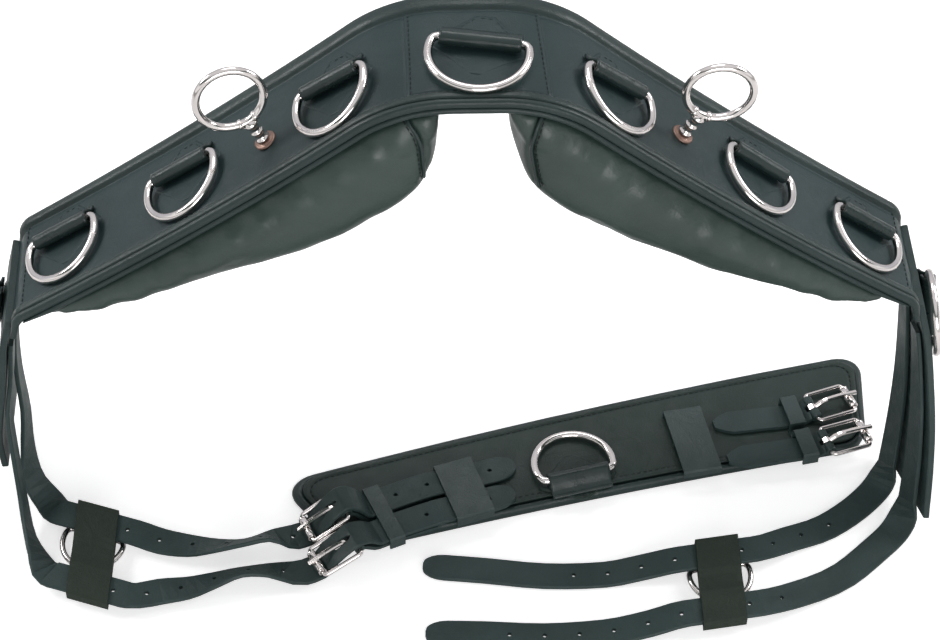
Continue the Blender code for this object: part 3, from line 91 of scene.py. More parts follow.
class Graph:
    """Short hand for a node tree around the shader of a material or of the world."""

    def __init__(self, name, world=False):
        self.owner = (bpy.data.worlds if world else bpy.data.materials).new(name)
        self.owner.use_nodes = True
        self.tree = self.owner.node_tree
        self.shader = self.tree.nodes["Background" if world else "Principled BSDF"]
        self.coords = self.add("ShaderNodeTexCoord").outputs["Generated" if world else "Object"]

    def add(self, kind, **values):
        node = self.tree.nodes.new(kind)
        for key, value in values.items():
            if key in node.inputs:
                node.inputs[key].default_value = value
            else:
                setattr(node, key, value)
        return node

    def link(self, out, into):
        self.tree.links.new(out, into)

    def noise(self, scale, detail=3.0, rough=0.5, distortion=0.0):
        node = self.add("ShaderNodeTexNoise", Scale=scale, Detail=detail, Roughness=rough,
                        Distortion=distortion)
        self.link(self.coords, node.inputs["Vector"])
        return node.outputs["Fac"]

    def grain(self, scale):
        node = self.add("ShaderNodeTexVoronoi", feature="SMOOTH_F1", Scale=scale)
        self.link(self.coords, node.inputs["Vector"])
        return node.outputs["Distance"]

    def ramp(self, factor, stops):
        node = self.add("ShaderNodeValToRGB")
        elements = node.color_ramp.elements
        while len(elements) < len(stops):
            elements.new(0.5)
        for element, (place, colour) in zip(elements, stops):
            element.position, element.color = place, (*colour, 1.0)
        self.link(factor, node.inputs["Fac"])
        return node.outputs["Color"]

    def spread(self, factor, low, high, first=0.3, last=0.7):
        node = self.add("ShaderNodeMapRange")
        for key, value in (("From Min", first), ("From Max", last), ("To Min", low), ("To Max", high)):
            node.inputs[key].default_value = value
        self.link(factor, node.inputs["Value"])
        return node.outputs["Result"]

    def bump(self, height, distance, strength=1.0, under=None):
        node = self.add("ShaderNodeBump", Distance=distance, Strength=strength)
        self.link(height, node.inputs["Height"])
        if under is not None:
            self.link(under, node.inputs["Normal"])
        return node.outputs["Normal"]

    def mix(self, factor, first, second):
        """Colour mix of two colours, each a link or a grey level."""
        node = self.add("ShaderNodeMix", data_type="RGBA")
        for key, value in (("A", first), ("B", second)):
            if isinstance(value, float):
                node.inputs[key].default_value = (value, value, value, 1.0)
            else:
                self.link(value, node.inputs[key])
        self.link(factor, node.inputs["Factor"])
        return node.outputs["Result"]


DYE_STOPS = (0.28, 0.52, 0.80)
DYE_SCALE, GLOSS_SCALE, CREASE_SCALE, PORE_SCALE, FIBRE_SCALE = 14.0, 70.0, 55.0, 900.0, 2600.0
CREASE_DEPTH, PORE_DEPTH, FIBRE_DEPTH = 0.0022, 0.00022, 0.00006
TARNISH_SCALE, SCUFF_SCALE, PLATE_SCALE, PLATE_DEPTH = 45.0, 260.0, 300.0, 0.00003


def leather(name, dark, mid, light, rough, grain=0.5, crumple=0.4, gloss=0.5):
    """Finished leather, colours in thousandths: pore grain, fine creases, uneven dye and uneven gloss."""
    g = Graph(name)
    stops = [(place, [c / 1000 for c in colour]) for place, colour in zip(DYE_STOPS, (dark, mid, light))]
    g.link(g.ramp(g.noise(DYE_SCALE, 5.0, 0.62, 0.6), stops), g.shader.inputs["Base Color"])
    uneven = g.noise(GLOSS_SCALE, 4.0, 0.6)
    g.link(g.spread(uneven, rough - 0.07, rough + 0.09), g.shader.inputs["Roughness"])
    creases = g.bump(g.noise(CREASE_SCALE, 6.0, 0.65, 1.2), CREASE_DEPTH, crumple)
    pores = g.bump(g.grain(PORE_SCALE), PORE_DEPTH, grain, creases)
    g.link(g.bump(g.noise(FIBRE_SCALE, 2.0), FIBRE_DEPTH, grain, pores), g.shader.inputs["Normal"])
    g.shader.inputs["Specular IOR Level"].default_value = gloss
    return g.owner


def metal(name, base, rough):
    """Bright plate with fine scuffs and slightly uneven tone."""
    g = Graph(name)
    darker = tuple(c * 0.90 for c in base)
    g.link(g.ramp(g.noise(TARNISH_SCALE), ((0.35, darker), (0.65, base))), g.shader.inputs["Base Color"])
    g.link(g.spread(g.noise(SCUFF_SCALE, 5.0, 0.7), rough * 0.75, rough * 1.5), g.shader.inputs["Roughness"])
    g.link(g.bump(g.noise(PLATE_SCALE, 2.0), PLATE_DEPTH, 0.20), g.shader.inputs["Normal"])
    g.shader.inputs["Metallic"].default_value = 1.0
    return g.owner


STRAP = leather("strap_leather", (24, 41, 39), (33, 56, 54), (43, 69, 67), 0.44, gloss=0.32)
# girth facing: a darker copy of the strap leather; the extra darkness is painted shade, for the shadow that
# the arch casts on the girth
SHADED_GIRTH = leather("girth_face_leather_painted_shade", (16, 30, 26), (22, 39, 34), (30, 51, 46), 0.44, gloss=0.32)
# loop leather: a touch lighter than the strap leather as a painted highlight on the loops' raised edges; its
# higher gloss is real
LIGHTER_LOOP = leather("loop_leather_painted_highlight", (25, 43, 41), (35, 58, 56), (46, 73, 71), 0.38, gloss=0.45)
BAND = leather("band_leather", (19, 36, 37), (25, 46, 48), (33, 57, 60), 0.42, 0.4, 0.22, 0.32)
EDGE = leather("bound_edge_leather", (15, 29, 27), (21, 39, 37), (29, 50, 48), 0.36, 0.5, 0.30, 0.42)
PANEL = leather("panel_leather", (22, 42, 34), (31, 56, 47), (42, 71, 61), 0.37, 0.3, 0.22, 0.62)
ROLLED = leather("rolled_leather", (14, 25, 24), (20, 35, 34), (28, 46, 45), 0.30, 0.2, 0.08, 0.50)
KEEPER = leather("keeper_leather", (14, 22, 15), (20, 30, 21), (29, 41, 30), 0.60, 0.8, 0.6, 0.30)
THREAD = leather("thread", (10, 16, 15), (16, 24, 23), (28, 40, 38), 0.60, 0.2, 0.2, 0.3)
PALE_THREAD = leather("pale_thread", (40, 55, 54), (62, 80, 79), (100, 122, 120), 0.55, 0.2, 0.2, 0.4)
NICKEL = metal("bright_nickel", (0.90, 0.845, 0.825), 0.11)
RIVET = metal("rivet_copper", (0.300, 0.200, 0.165), 0.42)
SLOTS = {material: "leather" for material in (STRAP, SHADED_GIRTH, LIGHTER_LOOP, BAND, EDGE, ROLLED, THREAD, PALE_THREAD)}
SLOTS.update({PANEL: "soft_leather", KEEPER: "keeper_leather", NICKEL: "nickel", RIVET: "nickel"})


# Meshes

SHARP_ANGLE = math.radians(35.0)


def add_object(name, builder, material, body="harness", replaces=(), sharp=False):
    """Turn a bmesh into a smooth piece that rides on a body."""
    bmesh.ops.recalc_face_normals(builder, faces=builder.faces)
    mesh = bpy.data.meshes.new(name)
    builder.to_mesh(mesh)
    builder.free()
    obj = bpy.data.objects.new(name, mesh)
    scene.collection.objects.link(obj)
    mesh.materials.append(material)
    mesh.shade_smooth()
    if sharp:
        mesh.set_sharp_from_angle(angle=SHARP_ANGLE)
    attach(obj, body)
    if replaces:
        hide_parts(*replaces)
    return obj


def strip(builder, one, two, closed=True):
    """Quads between two rows of vertices."""
    if closed:
        one, two = one + one[:1], two + two[:1]
    for k in range(len(one) - 1):
        builder.faces.new((one[k], one[k + 1], two[k + 1], two[k]))


def loft(builder, rings, closed=False):
    """Skin of quads through rings of points; the open ends are filled."""
    loops = [[builder.verts.new(p) for p in ring] for ring in rings]
    pairs = list(zip(loops, loops[1:]))
    if closed:
        pairs.append((loops[-1], loops[0]))
    else:
        builder.faces.new(loops[0])
        builder.faces.new(loops[-1])
    for one, two in pairs:
        strip(builder, one, two)


def circle(sides):
    """Cosine and sine of equal steps round a circle."""
    return [(math.cos(a), math.sin(a)) for a in (2 * math.pi * s / sides for s in range(sides))]


def tube(builder, points, radius, sides):
    """Round piping along points."""
    last = len(points) - 1
    normal = (points[1] - points[0]).orthogonal().normalized()
    rings = []
    for k, point in enumerate(points):
        tangent = (points[min(last, k + 1)] - points[max(0, k - 1)]).normalized()
        normal = (normal - tangent * normal.dot(tangent)).normalized()
        side = tangent.cross(normal)
        rings.append([point + (normal * cosine + side * sine) * radius for cosine, sine in circle(sides)])
    loft(builder, rings)


def hoop(builder, outline, normal, radius, sides):
    """Closed wire that lies in one plane."""
    rings = []
    count = len(outline)
    for k, point in enumerate(outline):
        along = (outline[(k + 1) % count] - outline[k - 1]).normalized()
        side = normal.cross(along).normalized()
        rings.append([point + (side * cosine + normal * sine) * radius for cosine, sine in circle(sides)])
    loft(builder, rings, True)


def lathe(builder, place, profile, sides=28):
    """Turned piece about Z from a profile of (radius, height)."""
    loft(builder, [[place @ Vector((r * cosine, r * sine, height)) for cosine, sine in circle(sides)]
                   for r, height in profile])


def smooth_route(knots, steps):
    """Smooth curve through knots of any number of values."""
    gaps = [math.dist(a[:3], b[:3]) for a, b in zip(knots, knots[1:])]
    slopes = [[(q - p) / gap for p, q in zip(a, b)] for a, b, gap in zip(knots, knots[1:], gaps)]
    tangents = [slopes[0]]
    for k in range(1, len(knots) - 1):
        near, far = gaps[k - 1], gaps[k]
        tangents.append([(far * p + near * q) / (near + far) for p, q in zip(slopes[k - 1], slopes[k])])
    tangents.append(slopes[-1])
    out = []
    for k, gap in enumerate(gaps):
        for s in range(steps):
            t = s / steps
            h0, h1 = (1 + 2 * t) * (1 - t) ** 2, t * t * (3 - 2 * t)
            g0, g1 = t * (1 - t) ** 2 * gap, t * t * (t - 1) * gap
            out.append([h0 * a + g0 * m + h1 * b + g1 * n
                        for a, m, b, n in zip(knots[k], tangents[k], knots[k + 1], tangents[k + 1])])
    out.append(list(knots[-1]))
    return out


def ease(value, low, high):
    t = max(0.0, min(1.0, (value - low) / (high - low)))
    return t * t * (3 - 2 * t)


def value_at(knots, at):
    """Straight-line reading of a table of (place, value)."""
    return float(np.interp(at, [k[0] for k in knots], [k[1] for k in knots]))


# Stitching: collected along the way, made as one piece at the end
STITCH_STEP = 0.0046
STITCH_LENGTH = 0.0032
STITCH_RADIUS = 0.00042
STITCH_SHAPE = ((-0.5, 0.45, 0.5), (-0.32, 1.0, 0.0), (0.32, 1.0, 0.0), (0.5, 0.45, 0.5))
stitch_lines = {THREAD: [], PALE_THREAD: []}


def sew(points, ups, closed=False, thread=THREAD):
    """Remember a line of stitches along points with the direction off the surface."""
    if closed:
        points, ups = points + points[:1], ups + ups[:1]
    stitch_lines[thread].append((points, ups))


def make_stitches(name, thread):
    builder = bmesh.new()
    for points, ups in stitch_lines[thread]:
        travelled, due = 0.0, STITCH_STEP / 2
        for a, b, up in zip(points, points[1:], ups):
            span = (b - a).length
            if span < 1e-7:
                continue
            along = (b - a) / span
            while due <= travelled + span:
                middle = a + along * (due - travelled)
                across = up.cross(along).normalized()
                rings = []
                for reach, size, sink in STITCH_SHAPE:              # sunk at both ends, full between
                    centre = middle + along * (reach * STITCH_LENGTH) + up * (STITCH_RADIUS * (0.2 - sink))
                    rings.append([centre + across * (math.cos(t) * size * STITCH_RADIUS)
                                  + up * (math.sin(t) * size * STITCH_RADIUS)
                                  for t in (math.pi / 3 * s for s in range(6))])
                loft(builder, rings)
                due += STITCH_STEP
            travelled += span
    add_object(name, builder, thread)


# Arch of the body
APEX_HEIGHT = 0.385
CROWN_FLAT = 0.015
CROWN_RADIUS = 0.100
CROWN_TURN = math.radians(40.5)
LEG_LENGTH = 0.290
LEG_TURN = math.radians(-6.0)
SHOULDER_RADIUS = 0.018
SHOULDER_TURN = math.radians(41.0)
TAB_LENGTH = 0.012
SHOULDER_AT = CROWN_FLAT + CROWN_RADIUS * CROWN_TURN + LEG_LENGTH
SHOULDER_END = SHOULDER_AT + SHOULDER_RADIUS * SHOULDER_TURN
BODY_END = SHOULDER_END + TAB_LENGTH
BODY_WIDTH, BODY_END_WIDTH = 0.106, 0.098
BAND_THICKNESS = 0.0034
LINING_THICKNESS = 0.0050
LINING_END = SHOULDER_AT + 0.0040
LINING_TABLE = ((0.0, LINING_THICKNESS), (0.352, LINING_THICKNESS), (SHOULDER_AT, 0.0015),
                (LINING_END, 0.0006))
SEAMS = {"left": (0.0440, 0.0440), "right": (0.0500, 0.0460)}    # centre panel's seams, near and far edge
SEAM_MARKS = (0.044, 0.047, 0.050, SHOULDER_AT)
ARCH_SEGMENTS = ((CROWN_FLAT, 0.0), (CROWN_RADIUS * CROWN_TURN, CROWN_TURN), (LEG_LENGTH, LEG_TURN),
                 (SHOULDER_RADIUS * SHOULDER_TURN, SHOULDER_TURN), (TAB_LENGTH * 4, 0.0))


def arch(distance):
    """Point and heading of the outer face, in the X-Z plane, right side."""
    x, z, heading = 0.0, APEX_HEIGHT, 0.0
    left = distance
    for length, turn in ARCH_SEGMENTS:
        step = min(left, length)
        bend = turn * step / length
        if abs(bend) > 1e-9:
            radius = step / bend
            x += radius * (math.sin(heading + bend) - math.sin(heading))
            z += radius * (math.cos(heading + bend) - math.cos(heading))
        else:
            x += step * math.cos(heading)
            z -= step * math.sin(heading)
        heading += bend
        left -= step
        if left <= 0:
            break
    return x, z, heading


def on_arch(signed, across, lift):
    """World point on the body and its outward direction."""
    side = -1.0 if signed < 0 else 1.0
    x, z, heading = arch(abs(signed))
    up = Vector((side * math.sin(heading), 0.0, math.cos(heading)))
    return Vector((side * x, across, z)) + up * lift + SHIFT, up


def body_half(signed):
    share = min(1.0, abs(signed) / SHOULDER_AT)
    return (BODY_WIDTH + (BODY_END_WIDTH - BODY_WIDTH) * share ** 2) / 2


def stations(last, step):
    """Distances along the arch, finer at the seams and folds."""
    marks = {0.0, last}
    here = 0.0
    while here < last:
        marks.add(round(here, 5))
        here += step
    for middle in SEAM_MARKS:
        marks.update(round(middle + d, 5) for d in (-0.0012, -0.0006, 0.0, 0.0006, 0.0012))
    marks.update(round(SHOULDER_AT + SHOULDER_RADIUS * SHOULDER_TURN * k / 8, 5) for k in range(9))
    right = sorted(m for m in marks if m <= last)
    return [-m for m in reversed(right[1:])] + right


EDGE_MARKS = (0.0, 0.00015, 0.0005, 0.0010, 0.0017, 0.0026, 0.0036, 0.0043, 0.0047, 0.0050, 0.0053, 0.0058,
              0.0068, 0.0082, 0.0096, 0.0106, 0.0114, 0.0121, 0.0128, 0.0136, 0.0148, 0.0168, 0.0195, 0.0240,
              0.0300, 0.0370, 0.0440)
EDGE_ROUND, EDGE_DROP = 0.0026, 0.0022
EDGE_ROLL = 0.0050                      # narrow outer roll of the near edge
NEAR_BINDING, NEAR_RISE = 0.0124, 0.0017
ROLL_CROWN, ROLL_GROOVE, BINDING_CROWN, BINDING_GROOVE = 0.00045, 0.0013, 0.00060, 0.00045
FAR_BINDING = ((0.0, 0.0155), (0.120, 0.0155), (0.360, 0.0110), (0.45, 0.0110))
FAR_RISE, FAR_CROWN, FAR_GROOVE = 0.0014, 0.00110, 0.00085
MARK_STRETCH, STRETCH_FROM, STRETCH_TO = 1.27, 0.0150, 0.0440
PANEL_STEP, PANEL_GROOVE = 0.00060, 0.00055
WAVE_SCALE, WAVE_HEIGHT, FINE_WAVE, FINE_WAVE_HEIGHT = 26, 0.00050, 3.1, 0.00014
STITCH_INSET, STITCH_LIFT = 0.0116, 0.0001
FOLD_SEAM = SHOULDER_AT + 0.0040
TAB_RISE = 0.0010                       # meets the flap sewn over it
BACK_ROUND = 0.0008
CROSS_SEAMS = ((-0.040, 0.037), (-0.038, 0.038))        # across: panel seam, fold seam
SEAM_BACK = 0.0022


def binding_marks(signed, across_sign):
    """Places of the edge's points, measured inwards; the far binding is wider in the middle."""
    if across_sign < 0:
        return EDGE_MARKS
    wider = (value_at(FAR_BINDING, abs(signed)) / NEAR_BINDING - 1) * MARK_STRETCH
    return [m if m <= EDGE_ROUND else
            EDGE_ROUND + (m - EDGE_ROUND) * (1 + wider * (1 - ease(m, STRETCH_FROM, STRETCH_TO)))
            for m in EDGE_MARKS]


def bell(value, middle, width):
    return math.exp(-((value - middle) / width) ** 2)


def hump(value):
    """Half a sine wave over 0 to 1."""
    return math.sin(math.pi * max(0.0, min(1.0, value)))


def band_rise(signed, across, inside):
    """Height of the band's outer face: bound and stitched edges, panel step and soft waves."""
    if across < 0:
        binding = NEAR_BINDING
        rise = NEAR_RISE * (1 - ease(inside, binding - 0.0018, binding + 0.0004))
        rise += ROLL_CROWN * hump(inside / EDGE_ROLL)
        rise += BINDING_CROWN * hump((inside - EDGE_ROLL) / (binding - EDGE_ROLL))
        rise -= ROLL_GROOVE * bell(inside, EDGE_ROLL, 0.00055)
        rise -= BINDING_GROOVE * bell(inside, binding + 0.0002, 0.0009)
    else:
        binding = value_at(FAR_BINDING, abs(signed))
        rise = FAR_RISE * (1 - ease(inside, binding * 0.72, binding + 0.0004))
        rise += FAR_CROWN * hump(inside / binding)
        rise -= FAR_GROOVE * bell(inside, binding + 0.0003, 0.0017)
    if inside < EDGE_ROUND:
        rise -= EDGE_DROP * (1 - math.sqrt(max(0.0, 1 - (1 - inside / EDGE_ROUND) ** 2)))
    near, far = SEAMS["left" if signed < 0 else "right"]
    off = abs(signed) - near - (far - near) * (across + 0.05) / 0.1
    step = PANEL_STEP * (1 - ease(off, -0.0006, 0.0006)) - PANEL_GROOVE * bell(off, 0.0006, 0.0009)
    rise += step * ease(inside, binding, binding + 0.0012)
    place = Vector((signed * WAVE_SCALE, across * WAVE_SCALE, 0.0))
    waves = noise.noise(place) * WAVE_HEIGHT + noise.noise(place * FINE_WAVE) * FINE_WAVE_HEIGHT
    rise += waves * ease(inside, 0.004, 0.014)
    return rise + (TAB_RISE - rise) * ease(abs(signed), SHOULDER_END + 0.001, SHOULDER_END + 0.006)


def sew_on_band(places, thread=THREAD):
    """Stitches on the band's face through (distance, across) places."""
    found = [on_arch(signed, across, band_rise(signed, across, body_half(signed) - abs(across)) + STITCH_LIFT)
             for signed, across in places]
    sew([point for point, up in found], [up for point, up in found], thread=thread)


def build_band():
    builder = bmesh.new()
    rings, columns = [], []
    low = -BAND_THICKNESS
    for signed in stations(BODY_END, 0.0040):
        half = body_half(signed)
        top, insides = [], []
        for sign in (1.0, -1.0):
            run = [(sign * (half - m), band_rise(signed, sign * (half - m), m))
                   for m in binding_marks(signed, sign)]
            top += run if sign > 0 else reversed(run)
            insides += EDGE_MARKS if sign > 0 else reversed(EDGE_MARKS)
        bottom = [(-half, low + BACK_ROUND), (-half + 0.0006, low), (-half * 0.5, low), (0.0, low),
                  (half * 0.5, low), (half - 0.0006, low), (half, low + BACK_ROUND)]
        rings.append([on_arch(signed, across, lift)[0] for across, lift in top + bottom])
        columns = insides + [0.0] * len(bottom)
    loft(builder, rings)
    band = add_object("body_leather", builder, BAND, replaces=("body_band",))
    band.data.materials.append(EDGE)
    wide = len(columns)
    bound = [max(columns[k], columns[(k + 1) % wide]) <= NEAR_BINDING for k in range(wide)]
    for face in band.data.polygons:
        if len(face.vertices) == 4:
            face.material_index = int(bound[(face.index - 2) % wide])
    sew_on_band([(s, STITCH_INSET - body_half(s)) for s in stations(SHOULDER_AT, 0.004)], PALE_THREAD)
    for side_name, side in SIDES.items():
        for (s0, s1), (a0, a1) in zip((SEAMS[side_name], (FOLD_SEAM, FOLD_SEAM)), CROSS_SEAMS):
            sew_on_band([(side * (s0 + (s1 - s0) * k / 30 - SEAM_BACK), a0 + (a1 - a0) * k / 30)
                         for k in range(31)])
    return band


LINING_PROUD, LAYER_GAP, LINING_WAVE, LINING_PINCH = 0.0006, 0.0003, 0.0003, 0.003


def build_lining():
    """Soft lining under the band, with a rolled edge that stands a little proud."""
    builder = bmesh.new()
    rings = []
    top = -BAND_THICKNESS - LAYER_GAP
    for signed in stations(LINING_END, 0.0050):
        half = body_half(signed) + LINING_PROUD
        thickness = value_at(LINING_TABLE, abs(signed))
        radius = thickness / 2
        middle = top - radius
        wave = LINING_WAVE * noise.noise(Vector((signed * 60, 3.0, 0.0))) * thickness / LINING_THICKNESS
        outline = []
        for sign in (1.0, -1.0):
            edge = [(sign * (half - radius + (radius + wave) * math.cos(a)), middle + radius * math.sin(a))
                    for a in (math.pi / 2 - math.pi * k / 8 for k in range(9))]
            pinch = [(sign * (half - radius - LINING_PINCH), middle + radius * 0.76)]
            flat = [(sign * (half - radius - LINING_PINCH - 0.0005), middle - radius * 0.68)]
            outline += pinch + edge + flat if sign > 0 else flat + edge[::-1] + pinch
        rings.append([on_arch(signed, a, b)[0] for a, b in outline])
    loft(builder, rings)
    lining = add_object("body_lining_roll", builder, EDGE, replaces=("body_lining",))


# Stuffed pads
PAD_TOP = -BAND_THICKNESS - LINING_THICKNESS - 0.0009
PAD_HELD = 0.0035                       # depth under its top that stays sewn down
PAD_VOXEL, PAD_SHRINK, PAD_PRESSURE, PAD_CAP, PAD_FRAMES = 0.0037, 0.0010, 4.0, 0.006, 20
CHUNK = 4000
ARCH_TABLE = np.array([[*arch(d)[:2], d, arch(d)[2]] for d in np.linspace(0.0, 0.40, 801)])


def arch_place(points, side):
    """Distance along the arch and depth under it for an array of world points."""
    x = (points[:, 0] - SHIFT.x) * side
    z = points[:, 2]
    best = np.zeros(len(points), int)
    for start in range(0, len(points), CHUNK):
        part = slice(start, start + CHUNK)
        gap = (x[part, None] - ARCH_TABLE[None, :, 0]) ** 2 + (z[part, None] - ARCH_TABLE[None, :, 1]) ** 2
        best[part] = gap.argmin(1)
    found = ARCH_TABLE[best]
    depth = -((x - found[:, 0]) * np.sin(found[:, 3]) + (z - found[:, 1]) * np.cos(found[:, 3]))
    return found[:, 2], depth


def read_vertices(mesh, field):
    flat = np.empty(len(mesh.vertices) * 3)
    mesh.vertices.foreach_get(field, flat)
    return flat.reshape(-1, 3)


def coords_of(mesh):
    return read_vertices(mesh, "co")


def normals_of(mesh):
    return read_vertices(mesh, "normal")


def move_vertices(mesh, points):
    mesh.vertices.foreach_set("co", points.ravel())
    mesh.update()


def bake(obj):
    """Replace the mesh with its modified one."""
    graph = bpy.context.evaluated_depsgraph_get()
    mesh = bpy.data.meshes.new_from_object(obj.evaluated_get(graph))
    obj.modifiers.clear()
    obj.data = mesh
    return mesh


def stuffed(node, name, pinned):
    """Copy of a soft solid, swollen by cloth simulation, with the held points given by a test."""
    mesh = nodes[node].data.copy()
    obj = bpy.data.objects.new(name, mesh)
    scene.collection.objects.link(obj)
    mesh.materials.clear()
    merge = bmesh.new()
    merge.from_mesh(mesh)
    bmesh.ops.remove_doubles(merge, verts=merge.verts, dist=0.00001)
    merge.to_mesh(mesh)
    merge.free()
    remesh = obj.modifiers.new("remesh", "REMESH")
    remesh.mode = "VOXEL"
    remesh.voxel_size = PAD_VOXEL
    mesh = bake(obj)
    rest = coords_of(mesh)
    start = rest - normals_of(mesh) * PAD_SHRINK
    held = pinned(rest)
    start[held] = rest[held]
    move_vertices(mesh, start)
    group = obj.vertex_groups.new(name="held")
    group.add([int(k) for k in np.flatnonzero(held)], 1.0, "REPLACE")
    cloth = obj.modifiers.new("cloth", "CLOTH")
    settings = cloth.settings
    settings.quality = 6
    settings.mass = 0.25
    settings.tension_stiffness = settings.compression_stiffness = 12.0
    settings.shear_stiffness = 4.0
    settings.bending_stiffness = 0.4
    settings.use_pressure = True
    settings.uniform_pressure_force = PAD_PRESSURE
    settings.effector_weights.gravity = 0.0
    settings.vertex_group_mass = "held"
    cloth.collision_settings.use_collision = False
    cloth.point_cache.frame_start = 1
    cloth.point_cache.frame_end = PAD_FRAMES
    for number in range(1, PAD_FRAMES + 1):
        scene.frame_set(number)
    mesh = bake(obj)
    scene.frame_set(1)
    moved = coords_of(mesh) - start
    size = np.linalg.norm(moved, axis=1, keepdims=True)
    moved *= np.minimum(1.0, PAD_CAP / np.maximum(size, 1e-9))
    mesh.vertices.foreach_set("co", (start + moved).ravel())
    obj.vertex_groups.clear()
    soften = obj.modifiers.new("soften", "SMOOTH")
    soften.factor, soften.iterations = 0.5, 14
    finer = obj.modifiers.new("finer", "SUBSURF")
    finer.levels = finer.render_levels = 1
    bake(obj).shade_smooth()
    return obj


def fold(points, seed):
    """Ridged noise, from 0 to 1, high along creases."""
    ridged = [1.0 - abs(noise.noise(Vector(p) + Vector((seed, seed * 2, 0.0)))) * 2.2 for p in points]
    return np.clip(np.array(ridged), 0.0, 1.0)


def soft_noise(points, scale, seed):
    return np.array([noise.noise(Vector(p) * scale + Vector((seed, -seed, seed))) for p in points])


PIPING = {"left": ((-0.0440, 0.3692), (-0.0423, 0.3668), (-0.0382, 0.3606), (-0.0355, 0.3519),
                   (-0.0340, 0.3394), (-0.0331, 0.3219), (-0.0332, 0.3180)),
          "right": ((0.0450, 0.3720), (0.0426, 0.3700), (0.0382, 0.3589), (0.0367, 0.3456),
                    (0.0386, 0.3320), (0.0421, 0.3143), (0.0436, 0.3100))}
PIPING_RADIUS = 0.0013
PIPING_SIDES, PIPING_STITCH, TRENCH_DEPTH, TRENCH_WIDTH = 10, 0.0031, 0.0018, 0.0026
PAD_SWELL, PAD_BULGE, PAD_SAG, PAD_END = 0.0009, 0.0055, 0.0036, 0.0006
PUFF_EVERY, PUFF_DEPTH, PUFF_REACH, PUFF_HEIGHT = 0.030, 0.015, 0.009, 0.0018
GATHER_EVERY, GATHER_DEPTH = 75, 0.0007
DRIFT_SCALE, DRIFT_HEIGHT, LUMP_SCALE, LUMP_HEIGHT = 18.0, 0.0011, 50.0, 0.0004


def piping_route(tree, side, knots, face_sign):
    """Points and normals on the pad's face along the seam of its end, seen from one side."""
    route = smooth_route([(x, 0.0, z) for x, z in knots], 6)
    found, last = [], None
    for x, _, z in route:
        for step in range(12):
            start = Vector((x + side * 0.0010 * step, face_sign * 0.09, z)) + SHIFT
            hit, normal = tree.ray_cast(start, BACK * -face_sign)[:2]
            if hit is not None and (last is None or abs(hit.y - last) < 0.004) and abs(normal.y) > 0.25:
                found.append((hit, normal))
                last = hit.y
                break
    return found


def pad_relief(points, normals, distance, under, seed):
    """How far each point is pushed out: bulge, sag, puffs under the seam, gathers and soft unevenness."""
    face = np.clip(np.abs(normals[:, 1]) * 1.5 - 0.35, 0.0, 1.0)
    below = np.clip(under / 0.010, 0.0, 1.0)
    places = np.linspace(0.02, 0.37, 36)
    deepest = np.array([max(0.004, under[np.abs(distance - p) < 0.008].max(initial=0.004)) for p in places])
    local = np.interp(distance, places, deepest)
    share = np.clip(under / local, 0.0, 1.0)
    drift = soft_noise(points * np.array([1.0, 0.3, 1.0]), DRIFT_SCALE, seed)
    push = PAD_SWELL + PAD_BULGE * np.sin(math.pi * share ** 0.75) * face * np.clip(local / 0.04, 0.0, 1.0)
    push += PAD_SAG * np.clip((share - 0.50) / 0.35, 0.0, 1.0) * np.clip((local - 0.014) / 0.030, 0.0, 1.0)
    gullet = np.clip((0.07 - distance) / 0.02, 0.0, 1.0)
    push += PAD_END * np.clip(np.abs(normals[:, 0]) * 2 - 0.8, 0.0, 1.0) * gullet
    puff = 0.5 + 0.5 * np.cos(2 * math.pi * (distance / PUFF_EVERY + 0.30 * drift))
    push += PUFF_HEIGHT * puff * np.exp(-((under - PUFF_DEPTH) / PUFF_REACH) ** 2) * face
    gathers = fold(np.stack([distance * GATHER_EVERY, under * 12, points[:, 1] * 6], 1), seed)
    push -= GATHER_DEPTH * gathers ** 3 * np.exp(-np.maximum(under - 0.004, 0.0) / 0.009) * below * face
    lumps = soft_noise(points, LUMP_SCALE, seed + 4)
    return push + (DRIFT_HEIGHT * drift + LUMP_HEIGHT * lumps) * below * face


def pipe_end(side_name, points, normals, tree):
    """Piping along the end seam on both faces, its stitches, and the trench that it lies in."""
    side = SIDES[side_name]
    piping = bmesh.new()
    for face_sign in (-1.0, 1.0):
        found = piping_route(tree, side, PIPING[side_name], face_sign)
        if len(found) < 6:
            continue
        route = [hit + normal * 0.0002 for hit, normal in found]
        route = [(a + b * 2 + c) / 4
                 for a, b, c in zip(route[:1] + route[:-1], route, route[1:] + route[-1:])]
        tube(piping, route, PIPING_RADIUS, PIPING_SIDES)
        beside = [tree.find_nearest(hit + Vector((side * PIPING_STITCH, 0.0, 0.0))) for hit, normal in found]
        sew([s[0] + s[1] * STITCH_LIFT for s in beside], [s[1] for s in beside])
        trench = np.array([tuple(p) for p in route])
        for start in range(0, len(points), CHUNK):
            part = slice(start, start + CHUNK)
            gaps = np.sqrt(((points[part, None, :] - trench[None, :, :]) ** 2).sum(2)).min(1)
            points[part] -= normals[part] * (TRENCH_DEPTH * np.exp(-(gaps / TRENCH_WIDTH) ** 2))[:, None]
    return piping


